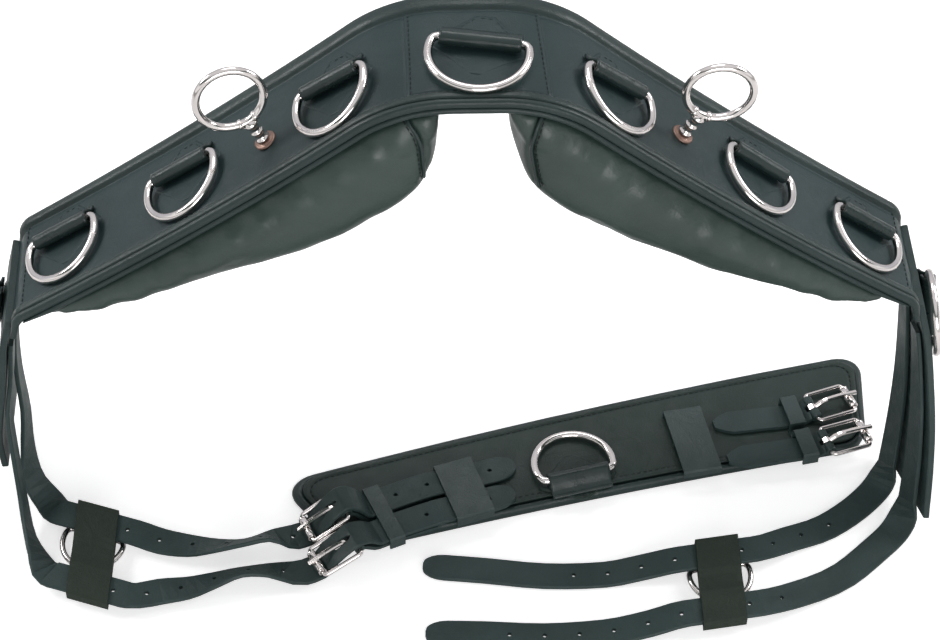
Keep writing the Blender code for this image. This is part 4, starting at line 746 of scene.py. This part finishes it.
def build_pad(side_name):
    side = SIDES[side_name]

    def pinned(points):
        return arch_place(points, side)[1] < -PAD_TOP + PAD_HELD

    pad = stuffed(side_name + "_pad", side_name + "_stuffed_pad", pinned)
    mesh = pad.data
    points, normals = coords_of(mesh), normals_of(mesh)
    distance, depth = arch_place(points, side)
    push = pad_relief(points, normals, distance, depth + PAD_TOP, 3.0 + side)
    points = points + normals * push[:, None]
    distance, depth = arch_place(points, side)
    over = np.maximum(-PAD_TOP + 0.0002 - depth, 0.0)
    slope = np.interp(distance, ARCH_TABLE[:, 2], ARCH_TABLE[:, 3])
    points[:, 0] -= over * np.sin(slope) * side
    points[:, 2] -= over * np.cos(slope)
    tree = BVHTree.FromPolygons([tuple(p) for p in points], [tuple(f.vertices) for f in mesh.polygons])
    piping = pipe_end(side_name, points, normals, tree)
    move_vertices(mesh, points)
    mesh.materials.clear()
    mesh.materials.append(PANEL)
    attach(pad, "harness")
    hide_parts(side_name + "_pad")
    add_object(side_name + "_pad_piping", piping, EDGE)


# Girth
GIRTH_SPAN, GIRTH_SAG = 0.4407, 0.005
GIRTH_ENDS, GIRTH_SLANTS, GIRTH_SLANT_FROM = (-0.2050, 0.2300), (-0.55, 0.28), 0.150
GIRTH_EDGES, GIRTH_FLARE = (-0.0380, 0.0430), (-0.016, 0.018)
GIRTH_MIDDLE, GIRTH_HEADING, GIRTH_CORNER = (0.0862, -0.0455), math.radians(13.52), 0.020
GIRTH_PAD_TOP, GIRTH_TOP = 0.0078, 0.0103
GIRTH_RADIUS = GIRTH_SPAN ** 2 / (8 * GIRTH_SAG)
GIRTH_COSINE, GIRTH_SINE = math.cos(GIRTH_HEADING), math.sin(GIRTH_HEADING)
EDGE_STEPS, CORNER_STEPS, END_STEPS = 56, 8, 9          # of the outline's long edges, corners and ends


def girth_bow(out):
    """How far the girth's middle line stands off its chord."""
    return GIRTH_RADIUS * math.cos(out / GIRTH_RADIUS) - GIRTH_RADIUS + GIRTH_SAG


def on_girth(out, across, height):
    turn = out / GIRTH_RADIUS
    x, y = GIRTH_RADIUS * math.sin(turn), girth_bow(out)
    heading = GIRTH_HEADING - turn
    side = Vector((-math.sin(heading), math.cos(heading), 0.0))
    base = Vector((GIRTH_MIDDLE[0] + x * GIRTH_COSINE - y * GIRTH_SINE,
                   GIRTH_MIDDLE[1] + x * GIRTH_SINE + y * GIRTH_COSINE, height))
    return base + side * across + SHIFT


def girth_outline(inset):
    """Closed outline of the girth in its own frame, counterclockwise, inset all round."""
    first, last = GIRTH_ENDS[0] + inset, GIRTH_ENDS[1] - inset
    corner = max(0.004, GIRTH_CORNER - inset * 0.6)
    points = []

    def edge(out, far):
        return GIRTH_EDGES[far] + (1 - 2 * far) * inset + GIRTH_FLARE[far] * (out + 0.02)

    def place(out, across):
        slant = GIRTH_SLANTS[0] if out < 0 else GIRTH_SLANTS[1]
        slant *= max(0.0, abs(out) - GIRTH_SLANT_FROM) / (GIRTH_ENDS[1] - GIRTH_SLANT_FROM)
        points.append((out + slant * across, across))

    def round_corner(end, sign, far, shares):
        for share in shares:
            angle = math.pi / 2 * share
            out = end - sign * corner + sign * corner * math.sin(angle)
            place(out, edge(out, far) + (1 - 2 * far) * corner * (1 - math.cos(angle)))

    for far, begin, end in ((0, first, last), (1, last, first)):        # near edge out, far edge back
        sign = 1 - 2 * far
        for k in range(far, EDGE_STEPS + 1):
            out = begin + sign * corner + sign * (last - first - 2 * corner) * k / EDGE_STEPS
            place(out, edge(out, far))
        round_corner(end, sign, far, [k / CORNER_STEPS for k in range(1, CORNER_STEPS + 1)])
        here, there = edge(end, far), edge(end, 1 - far)
        for k in range(1, END_STEPS):
            place(end, here + sign * corner + (there - here - 2 * sign * corner) * k / END_STEPS)
        round_corner(end, sign, 1 - far, [1 - k / CORNER_STEPS for k in range(CORNER_STEPS + 1 - far)])
    return points


GIRTH_PROFILE = ((0.0012, 0.0), (0.0003, 0.0010), (0.0, 0.0028), (0.0002, 0.0046), (0.0008, 0.0062),
                 (0.0018, 0.0074), (0.0030, 0.0079), (0.0042, 0.0079), (0.0052, 0.0074), (0.0060, 0.0068),
                 (0.0075, 0.0072), (0.011, 0.0078))
FACING_PROFILE = ((0.0058, 0.0081), (0.0056, 0.0092), (0.0062, 0.0101), (0.0074, 0.0105), (0.0086, 0.0103),
                  (0.0094, 0.0097), (0.0100, 0.0098), (0.0108, 0.0104), (0.0122, 0.0105), (0.0160, 0.0104))
FACING_FROM = 0.009                     # heights above this follow the facing's level
FACING_FLOOR, GIRTH_STITCH_INSET, GIRTH_STITCH_HEIGHT, FILL_OFFSET = 0.0081, 0.0098, 0.0100, 0.002


def girth_waves(point):
    return 0.00035 * noise.noise(point * 30) + 0.00012 * noise.noise(point * 90)


def girth_sheet(name, profile, floor, level, material, replaces):
    """Layer with a shaped border and a gently uneven middle."""
    builder = bmesh.new()
    rings = []
    for inset, height in profile:
        ring = []
        for out, across in girth_outline(inset):
            point = on_girth(out, across, height)
            if height > FACING_FROM:
                point.z = height + (level - height) * 0.75 * ease(-across, 0.005, 0.030)
            point.z += girth_waves(point) * (0.6 if height > 0.002 else 0.0)
            ring.append(point)
        rings.append(ring)
    loops = [[builder.verts.new(p) for p in ring] for ring in rings]
    for one, two in zip(loops, loops[1:]):
        strip(builder, one, two)
    fill_disc(builder, loops[-1], rings[-1], level)
    fill_disc(builder, loops[0], rings[0], floor)
    return add_object(name, builder, material, replaces=replaces)


def fill_disc(builder, loop, ring, level):
    """Close a ring by strips across it, following the girth's length."""
    count = len(loop)
    inner = loop
    for share in (0.75, 0.5, 0.25):
        fresh = []
        for point in ring:
            place = on_line(point, share)
            place.z = level + (girth_waves(place) if level > 0.001 else 0.0)
            fresh.append(builder.verts.new(place))
        strip(builder, inner, fresh)
        inner = fresh
    for k in range(count // 2):
        corners = []
        for v in (inner[k], inner[k + 1], inner[(count - k - 1) % count], inner[(count - k) % count]):
            if v not in corners:
                corners.append(v)
        if len(corners) > 2 and builder.faces.get(corners) is None:
            builder.faces.new(corners)


def on_line(point, share):
    """Pull a border point towards the girth's middle line, keeping its place along it."""
    flat = point - SHIFT - Vector((*GIRTH_MIDDLE, 0.0))
    out = flat.x * GIRTH_COSINE + flat.y * GIRTH_SINE
    across = -flat.x * GIRTH_SINE + flat.y * GIRTH_COSINE - girth_bow(out)
    return on_girth(out * (0.80 + 0.20 * share), (across - FILL_OFFSET) * share + FILL_OFFSET, point.z)


def build_girth():
    pad = girth_sheet("girth_padding", GIRTH_PROFILE, 0.0, GIRTH_PAD_TOP, EDGE, ("girth_pad",))
    # the facing takes the darker leather with its painted shade
    girth_sheet("girth_leather", FACING_PROFILE, FACING_FLOOR, GIRTH_TOP, SHADED_GIRTH, ("girth_facing",))
    points = [on_girth(out, across, GIRTH_STITCH_HEIGHT) for out, across in girth_outline(GIRTH_STITCH_INSET)]
    sew(points, [UP] * len(points), True)


# Rings
RING_WIRE, RING_BOW, RING_CHORD = 0.0058, 0.0295, 0.0115
CENTRE_RING_BOW, CENTRE_RING_CHORD = 0.0330, 0.0112
KEEPER_RING_WIRE, KEEPER_RING_BOW, KEEPER_RING_CHORD = 0.0040, 0.0225, 0.0065
RING_CORNER = 0.0045
CHAPE_LEATHER = 0.0019
RUNNING_FIT = 0.0004


def hinge(joint):
    """Origin and unit axis of a joint."""
    return Vector(joints[joint]["pos_m"]), Vector(joints[joint]["axis"]).normalized()


def joint_frame(node):
    """Placement of a swinging ring: X along its bar, -Y towards the middle of the ring."""
    origin, x_axis = hinge(node + "_swing")
    centre = Vector(coords_of(nodes[node].data).mean(0)) - origin
    y_axis = -(centre - x_axis * centre.dot(x_axis)).normalized()
    return framed(x_axis, y_axis, x_axis.cross(y_axis), origin)


def rounded(begin, tip, to):
    """Six points round a corner, up to its end."""
    return [begin * (1 - t) ** 2 + tip * (2 * t * (1 - t)) + to * t ** 2
            for t in (k / 6 for k in range(1, 7))]


def ring_outline(bow, chord, corner):
    """Half-round ring: a straight bar on the X axis and a bow towards -Y, with rounded corners."""
    half = math.sqrt(bow * bow - chord * chord)
    first = math.atan2(chord, half) - corner / bow
    arc = [Vector((bow * math.cos(a), bow * math.sin(a) - chord, 0.0))
           for a in (first - (math.pi + 2 * first) * k / 48 for k in range(49))]
    bar = [Vector((corner - half + (2 * half - 2 * corner) * k / 8, 0.0, 0.0)) for k in range(9)]
    return (arc + rounded(arc[-1], Vector((-half, 0.0, 0.0)), bar[0]) + bar[1:]
            + rounded(bar[-1], Vector((half, 0.0, 0.0)), arc[0])[:-1])


def build_ring(node, wire, bow, chord):
    place = joint_frame(node)
    outline = [place @ p for p in ring_outline(bow, chord, RING_CORNER)]
    builder = bmesh.new()
    hoop(builder, outline, place.to_3x3() @ UP, wire / 2, 20)
    add_object(node + "_wire", builder, NICKEL, body=node, replaces=(node,))


# Chapes
CHAPE_POINT, CHAPE_CLEAR = 0.026, 0.0018
PATCH_TOP, PATCH_TIP, PATCH_CORNER, PATCH_SPREAD = 0.0065, 0.0026, 0.0015, 0.0075
PATCH_SEAM, PATCH_RISE, LOWER_PATCH, ROLL_SPREAD = 0.0027, 0.0013, 0.10, 0.0008
PATCH_GROOVE, PATCH_DEPTH, PATCH_ROWS, PATCH_COLUMNS = 0.00045, 0.0004, 31, 19
PROBE_FROM, PROBE_REACH = 0.012, 0.030
NECK = [(0.0140, 0.0018), (0.0118, 0.0021), (0.0096, 0.0029), (0.0078, 0.0044), (0.0062, 0.0064)]
ROLL_STEPS, ROLL_SWELL, ROLL_DENT, ROLL_WOBBLE = 24, 0.035, 0.00022, 0.02


def patch_normal(node, towards):
    """Outward direction of a chape's flat patch."""
    best = max(nodes[node].data.polygons, key=lambda f: f.area)
    normal = best.normal.copy()
    return normal if (towards - best.center).dot(normal) > 0 else -normal


def build_chape(stem, bow, chord, ends, target, patch_material):
    """Leather rolled round the bar, with its sewn patch laid on the surface below."""
    node = stem + "_chape"
    origin, x_axis = hinge(stem + "_ring_swing")
    normal = patch_normal(node, origin)
    x_axis = (x_axis - normal * x_axis.dot(normal)).normalized()
    y_axis = normal.cross(x_axis)
    centre = Vector(coords_of(nodes[stem + "_ring"].data).mean(0)) - origin
    if centre.dot(y_axis) > 0:
        x_axis, y_axis = -x_axis, -y_axis
    half = math.sqrt(bow * bow - chord * chord) - RING_WIRE / 2 - CHAPE_CLEAR
    inner = RING_WIRE / 2 + RUNNING_FIT
    bar = inner + 2 * CHAPE_LEATHER - 0.0004
    base = origin - normal * bar
    tree = BVHTree.FromObject(target, bpy.context.evaluated_depsgraph_get())

    def spot(u, v, height):
        return base + x_axis * u + y_axis * v + normal * height

    def ground(u, v):
        hit = tree.ray_cast(spot(u, v, PROBE_FROM), -normal, PROBE_REACH)[0]
        return hit if hit is not None else spot(u, v, 0.0)

    builder = bmesh.new()
    back, front = ends
    wide = half + PATCH_SPREAD
    top_half = PATCH_TIP if stem == "girth" else PATCH_TOP
    grid, floor = [], []
    for r in range(PATCH_ROWS):
        v = -front + (front + back) * r / (PATCH_ROWS - 1)
        end, tip, plain = (back, top_half, 1.0) if v > 0 else (front, PATCH_TIP, LOWER_PATCH)
        width = wide + (tip - wide) * max(0.0, abs(v) - PATCH_CORNER) / (end - PATCH_CORNER)
        top_row, low_row = [], []
        for c in range(PATCH_COLUMNS):
            share = -1 + 2 * c / (PATCH_COLUMNS - 1)
            u = width * math.copysign(abs(share) ** 0.8, share)
            inside = min(width - abs(u), end - abs(v))
            rim = 0.10 + 0.90 * ease(inside, -0.0003, 0.0022)
            lift = (PATCH_RISE * rim - PATCH_GROOVE * bell(inside, PATCH_SEAM, 0.0008)) * plain
            under = ground(u, v)
            top_row.append(builder.verts.new(under + normal * lift))
            low_row.append(builder.verts.new(under - normal * PATCH_DEPTH))
        grid.append(top_row)
        floor.append(low_row)
    for sheet in (grid, floor):
        for one, two in zip(sheet, sheet[1:]):
            strip(builder, one, two, False)
    for end in (0, -1):
        strip(builder, grid[end], floor[end], False)
    for end in (0, -1):
        strip(builder, [row[end] for row in grid], [row[end] for row in floor], False)
    patch_faces = len(builder.faces)
    leather_half = CHAPE_LEATHER / 2
    radius = inner + leather_half
    line = NECK + [(radius * math.cos(a), bar + radius * math.sin(a))
                   for a in map(math.radians, range(52, 271, 14))]
    line += [(0.0022, bar - radius - 0.0001), (0.0042, bar - radius - 0.0003)]
    rings = []
    for c in range(ROLL_STEPS + 1):
        share = -1 + 2 * c / ROLL_STEPS
        u = (half + ROLL_SPREAD) * share
        swell = 1.0 + ROLL_SWELL * ease(abs(share), 0.82, 1.0)
        grow = 1.0 + ROLL_WOBBLE * noise.noise(Vector((origin.x * 40, u * 90, origin.z * 40)))
        outer, inside_line = [], []
        for k, (y, z) in enumerate(line):
            before, after = line[max(0, k - 1)], line[min(len(line) - 1, k + 1)]
            dy, dz = after[0] - before[0], after[1] - before[1]
            size = math.hypot(dy, dz)
            ny, nz = dz / size, -dy / size
            push = leather_half * swell + ROLL_DENT * noise.noise(Vector((u * 160, k * 0.5, origin.x * 50)))
            outer.append(spot(u, (y + ny * push) * grow, z + nz * push))
            inside_line.append(spot(u, y - ny * leather_half, z - nz * leather_half))
        rings.append(outer + inside_line[::-1])
    loft(builder, rings)
    chape = add_object(stem + "_chape_leather", builder, ROLLED, replaces=(node,))
    chape.data.materials.append(patch_material)
    for face in chape.data.polygons[:patch_faces]:
        face.material_index = 1
    corners = [(wide, PATCH_CORNER), (top_half, back), (-top_half, back), (-wide, PATCH_CORNER)]
    for (u0, v0), (u1, v1) in zip(corners, corners[1:]):
        points = []
        for t in (0.03 + 0.90 * k / 12 for k in range(13)):
            u, v = u0 + (u1 - u0) * t, v0 + (v1 - v0) * t
            size = math.hypot(u, v)
            inset = (size - PATCH_SEAM - 0.0005) / size
            points.append(ground(u * inset, v * inset) + normal * (PATCH_RISE - 0.0003))
        sew(points, [normal] * len(points))


def build_rings_and_chapes(band, girth_target):
    plain = (CHAPE_POINT, CHAPE_POINT)
    # the girth's chape patch takes the girth leather with its painted shade
    stems = [("centre", CENTRE_RING_BOW, CENTRE_RING_CHORD, (0.030, CHAPE_POINT), band, BAND),
             ("girth", RING_BOW, RING_CHORD, (0.019, 0.024), girth_target, SHADED_GIRTH)]
    for side_name in SIDES:
        stems += [(f"{side_name}_body_{k}", RING_BOW, RING_CHORD, plain, band, BAND) for k in (1, 2, 3)]
        flap = nodes[side_name + "_flap"]
        stems.append((side_name + "_flap", RING_BOW, RING_CHORD, plain, flap, STRAP))
    for stem, bow, chord, ends, target, patch in stems:
        build_ring(stem + "_ring", RING_WIRE, bow, chord)
        build_chape(stem, bow, chord, ends, target, patch)
    for side_name in SIDES:
        build_ring(side_name + "_keeper_ring", KEEPER_RING_WIRE, KEEPER_RING_BOW, KEEPER_RING_CHORD)


# Terrets
TERRET_WIRE, TERRET_RADIUS = 0.0056, 0.0228
TERRET_FOOT_RADIUS, TERRET_FOOT_HEIGHT, TERRET_PIN_RADIUS = 0.0080, 0.0028, 0.0022
TERRET_GAP, SOCKET_WALL, COLLAR_TURN = 0.0003, 0.0022, 0.26
COLLAR = ((0.0028, -0.0014), (0.0035, -0.0009), (0.0037, 0.0), (0.0035, 0.0009), (0.0028, 0.0014))


def build_terret(side_name):
    origin, z_axis = hinge(side_name + "_terret_swivel")
    cloud = coords_of(nodes[side_name + "_terret_ring"].data)
    cloud = cloud[(cloud - np.array(origin)) @ np.array(z_axis) > 0.02]
    thinnest = np.linalg.eigh(np.cov((cloud - cloud.mean(0)).T))[1][:, 0]       # across the ring's plane
    y_axis = Vector(thinnest)
    y_axis = (y_axis - z_axis * y_axis.dot(z_axis)).normalized()
    place = framed(y_axis.cross(z_axis), y_axis, z_axis, origin)
    base = coords_of(nodes[side_name + "_terret_base"].data) - np.array(origin)
    pin_height = float((base @ np.array(z_axis)).max())
    mouth, ceiling = TERRET_FOOT_HEIGHT + TERRET_GAP, pin_height + TERRET_GAP
    top = ceiling + SOCKET_WALL
    middle = top + TERRET_RADIUS + TERRET_WIRE * 0.12
    builder = bmesh.new()
    outline = [place @ Vector((TERRET_RADIUS * cosine, 0.0, middle + TERRET_RADIUS * sine))
               for cosine, sine in circle(72)]
    hoop(builder, outline, y_axis, TERRET_WIRE / 2, 20)
    waist = (mouth + ceiling) / 2
    lathe(builder, place, ((0.0028, mouth), (0.0047, mouth), (0.0052, mouth + 0.0007),
                           (0.0050, mouth + 0.0018), (0.0040, mouth + 0.0026), (0.0037, waist - 0.0014),
                           (0.0045, waist - 0.0008), (0.0047, waist), (0.0045, waist + 0.0008),
                           (0.0037, waist + 0.0014), (0.0038, ceiling - 0.0030), (0.0048, ceiling - 0.0018),
                           (0.0053, ceiling - 0.0004), (0.0050, ceiling + 0.0010), (0.0042, top),
                           (0.0030, top + 0.0014)))
    for sign in (-1.0, 1.0):
        angle = -math.pi / 2 + sign * COLLAR_TURN
        knot = place @ Matrix.Translation((TERRET_RADIUS * math.cos(angle), 0.0,
                                           middle + TERRET_RADIUS * math.sin(angle)))
        turn = knot @ Matrix.Rotation(-(angle + math.pi / 2), 4, "Y") @ Matrix.Rotation(math.pi / 2, 4, "Y")
        lathe(builder, turn, COLLAR)
    add_object(side_name + "_terret_hoop", builder, NICKEL, body=side_name + "_terret_ring",
               replaces=(side_name + "_terret_ring",))
    builder = bmesh.new()
    foot = TERRET_FOOT_RADIUS
    lathe(builder, place, ((foot * 0.97, -0.0004), (foot, 0.0004), (foot * 0.985, 0.0011),
                           (foot * 0.90, 0.0017), (foot * 0.84, 0.0016), (foot * 0.78, 0.0019),
                           (foot * 0.50, 0.0025), (0.0034, 0.0027)), 40)
    add_object(side_name + "_terret_rivet", builder, RIVET, replaces=(side_name + "_terret_base",))
    builder = bmesh.new()
    lathe(builder, place, ((TERRET_PIN_RADIUS, 0.0010), (TERRET_PIN_RADIUS, pin_height - 0.0004),
                           (TERRET_PIN_RADIUS * 0.8, pin_height)))
    add_object(side_name + "_terret_pin", builder, NICKEL)


# Buckles
BUCKLE_WIRE, BUCKLE_INSIDE, BUCKLE_LENGTH, BUCKLE_CORNER, ROLLER_WALL = 0.0034, 0.0226, 0.0315, 0.0030, 0.0012


def build_buckle(side_name, which):
    stem = side_name + "_" + which
    end, y_axis = hinge(stem + "_roller_spin")
    centre = Vector(coords_of(nodes[stem + "_buckle_frame"].data).mean(0))
    x_axis = end - centre
    x_axis = (x_axis - y_axis * x_axis.dot(y_axis)).normalized()
    z_axis = x_axis.cross(y_axis)
    place = framed(x_axis, y_axis, z_axis, end - x_axis * BUCKLE_LENGTH)
    half = (BUCKLE_INSIDE + BUCKLE_WIRE) / 2
    corner = BUCKLE_CORNER
    outline = []
    for x, y, first in ((BUCKLE_LENGTH - corner, half - corner, 0.0), (corner, half - corner, 0.5),
                        (corner, corner - half, 1.0), (BUCKLE_LENGTH - corner, corner - half, 1.5)):
        for a in (math.pi * (first + k / 12) for k in range(7)):
            outline.append(place @ Vector((x + corner * math.cos(a), y + corner * math.sin(a), 0.0)))
    fixed = side_name == "left"             # the billet through it holds the frame
    builder = bmesh.new()
    hoop(builder, outline, z_axis, BUCKLE_WIRE / 2, 16)
    add_object(stem + "_buckle_wire", builder, NICKEL, body="harness" if fixed else stem + "_buckle_frame",
               replaces=(stem + "_buckle_frame",))
    inner = BUCKLE_WIRE / 2 + RUNNING_FIT
    outer = inner + ROLLER_WALL
    reach = half - corner - 0.0003
    turn = place @ Matrix.Translation((BUCKLE_LENGTH, 0.0, 0.0)) @ Matrix.Rotation(math.pi / 2, 4, "X")
    builder = bmesh.new()
    half_profile = [(inner, reach), (outer - 0.0003, reach), (outer, reach - 0.0004), (outer, reach - 0.0016),
                    (outer - 0.00025, reach - 0.0021), (outer, reach - 0.0026)]
    profile = [(r, -h) for r, h in half_profile] + half_profile[::-1]
    loft(builder, [[turn @ Vector((r * cosine, r * sine, h)) for r, h in profile]
                   for cosine, sine in circle(28)], True)
    add_object(stem + "_roller_tube", builder, NICKEL, body=stem + "_roller", replaces=(stem + "_roller",),
               sharp=True)


# Pieces that keep their solid

def dress(node, material, width=0.0):
    """Give a solid its finish and, where a width is given, softly rounded edges."""
    obj = nodes[node]
    obj.data.materials.clear()
    obj.data.materials.append(material)
    if width:
        bevel = obj.modifiers.new("rounded", "BEVEL")
        bevel.width = width
        bevel.segments = 2
        bevel.limit_method = "ANGLE"
        bevel.angle_limit = SHARP_ANGLE
        bevel.harden_normals = True


def dress_nodes():
    for side_name in SIDES:
        dress(side_name + "_flap", STRAP)
        # the loops take the lighter leather with its painted highlight
        dress(side_name + "_small_loops", LIGHTER_LOOP, 0.0004)
        dress(side_name + "_wide_loop", LIGHTER_LOOP, 0.0004)
        dress(side_name + "_sliding_keeper", KEEPER, 0.0007)
        for which in ("back", "front"):
            stem = side_name + "_" + which
            dress(stem + "_billet", STRAP)
            dress(stem + "_chape_strap", STRAP, 0.0004)
            dress(stem + "_tongue", NICKEL, 0.0003)


# Stage and light

FRONT_SKY = ((0.0, (0.90, 0.91, 0.91)), (0.24, (0.88, 0.89, 0.89)), (0.36, (0.20, 0.22, 0.21)),
             (0.46, (0.05, 0.07, 0.06)), (0.56, (0.10, 0.12, 0.11)), (0.68, (0.62, 0.62, 0.63)),
             (1.0, (0.72, 0.73, 0.75)))
BACK_SKY = ((0.0, (0.50, 0.51, 0.55)), (0.35, (0.56, 0.56, 0.59)), (0.70, (0.66, 0.66, 0.67)),
            (1.0, (0.76, 0.76, 0.77)))
LAMPS = (("left_softbox", (-1.5, 0.5, 1.15), 0.8, 12.0), ("right_softbox", (1.5, 0.5, 1.15), 0.8, 12.0),
         ("front_softbox", (0.3, -1.7, 0.75), 1.3, 13.0), ("top_softbox", (0.0, 1.0, 2.0), 1.0, 8.0))
LAMP_AIM, LAMP_SHAPE = Vector((0.0, 0.05, 0.15)), 0.7
FLOOR_GLOW, ROOM_GREY, SKY_TURN = 0.60, 0.27, (-0.15, 0.35)


def build_stage():
    """White floor that stays white for the camera and keeps the soft shadow."""
    g = Graph("studio_floor")
    rays = g.add("ShaderNodeLightPath")
    diffuse = g.add("ShaderNodeBsdfDiffuse", Color=(0.93, 0.93, 0.93, 1.0))
    glow = g.add("ShaderNodeEmission", Color=(1.0, 1.0, 1.0, 1.0))
    g.link(g.spread(rays.outputs["Is Camera Ray"], 0.0, FLOOR_GLOW, 0.0, 1.0), glow.inputs["Strength"])
    both = g.add("ShaderNodeAddShader")
    g.link(diffuse.outputs[0], both.inputs[0])
    g.link(glow.outputs[0], both.inputs[1])
    g.link(both.outputs[0], g.tree.nodes["Material Output"].inputs["Surface"])
    bpy.ops.mesh.primitive_grid_add(x_subdivisions=4, y_subdivisions=4, size=14.0, location=(0.0, 0.0, 0.0))
    floor = bpy.context.object
    floor.name = "studio_floor"
    floor.data.materials.append(g.owner)
    build_sky()
    for name, place, size, energy in LAMPS:
        light = bpy.data.lights.new(name, "AREA")
        light.shape = "RECTANGLE"
        light.size, light.size_y = size, size * LAMP_SHAPE
        light.energy = energy
        lamp = bpy.data.objects.new(name, light)
        scene.collection.objects.link(lamp)
        lamp.location = place
        lamp.rotation_euler = (LAMP_AIM - Vector(place)).to_track_quat("-Z", "Y").to_euler()
    scene.view_settings.view_transform = "Standard"


def build_sky():
    """White for the camera, even grey as light, and a shaded sky in what shines."""
    g = Graph("studio", True)
    scene.world = g.owner
    rays = g.add("ShaderNodeLightPath")
    split = g.add("ShaderNodeSeparateXYZ")
    g.link(g.coords, split.inputs[0])
    front, behind = [g.ramp(split.outputs["Z"], stops) for stops in (FRONT_SKY, BACK_SKY)]
    sky = g.mix(g.spread(split.outputs["Y"], 0.0, 1.0, *SKY_TURN), front, behind)
    seen = g.mix(rays.outputs["Is Glossy Ray"], ROOM_GREY, sky)
    g.link(g.mix(rays.outputs["Is Camera Ray"], seen, 1.0), g.shader.inputs["Color"])


band_piece = build_band()
build_lining()
for pad_side in SIDES:
    build_pad(pad_side)
build_girth()
build_rings_and_chapes(band_piece, bpy.data.objects["girth_leather"])
for terret_side in SIDES:
    build_terret(terret_side)
    for buckle in ("back", "front"):
        build_buckle(terret_side, buckle)
dress_nodes()
make_stitches("stitching", THREAD)
make_stitches("edge_stitching", PALE_THREAD)
build_stage()

bpy.context.view_layer.update()
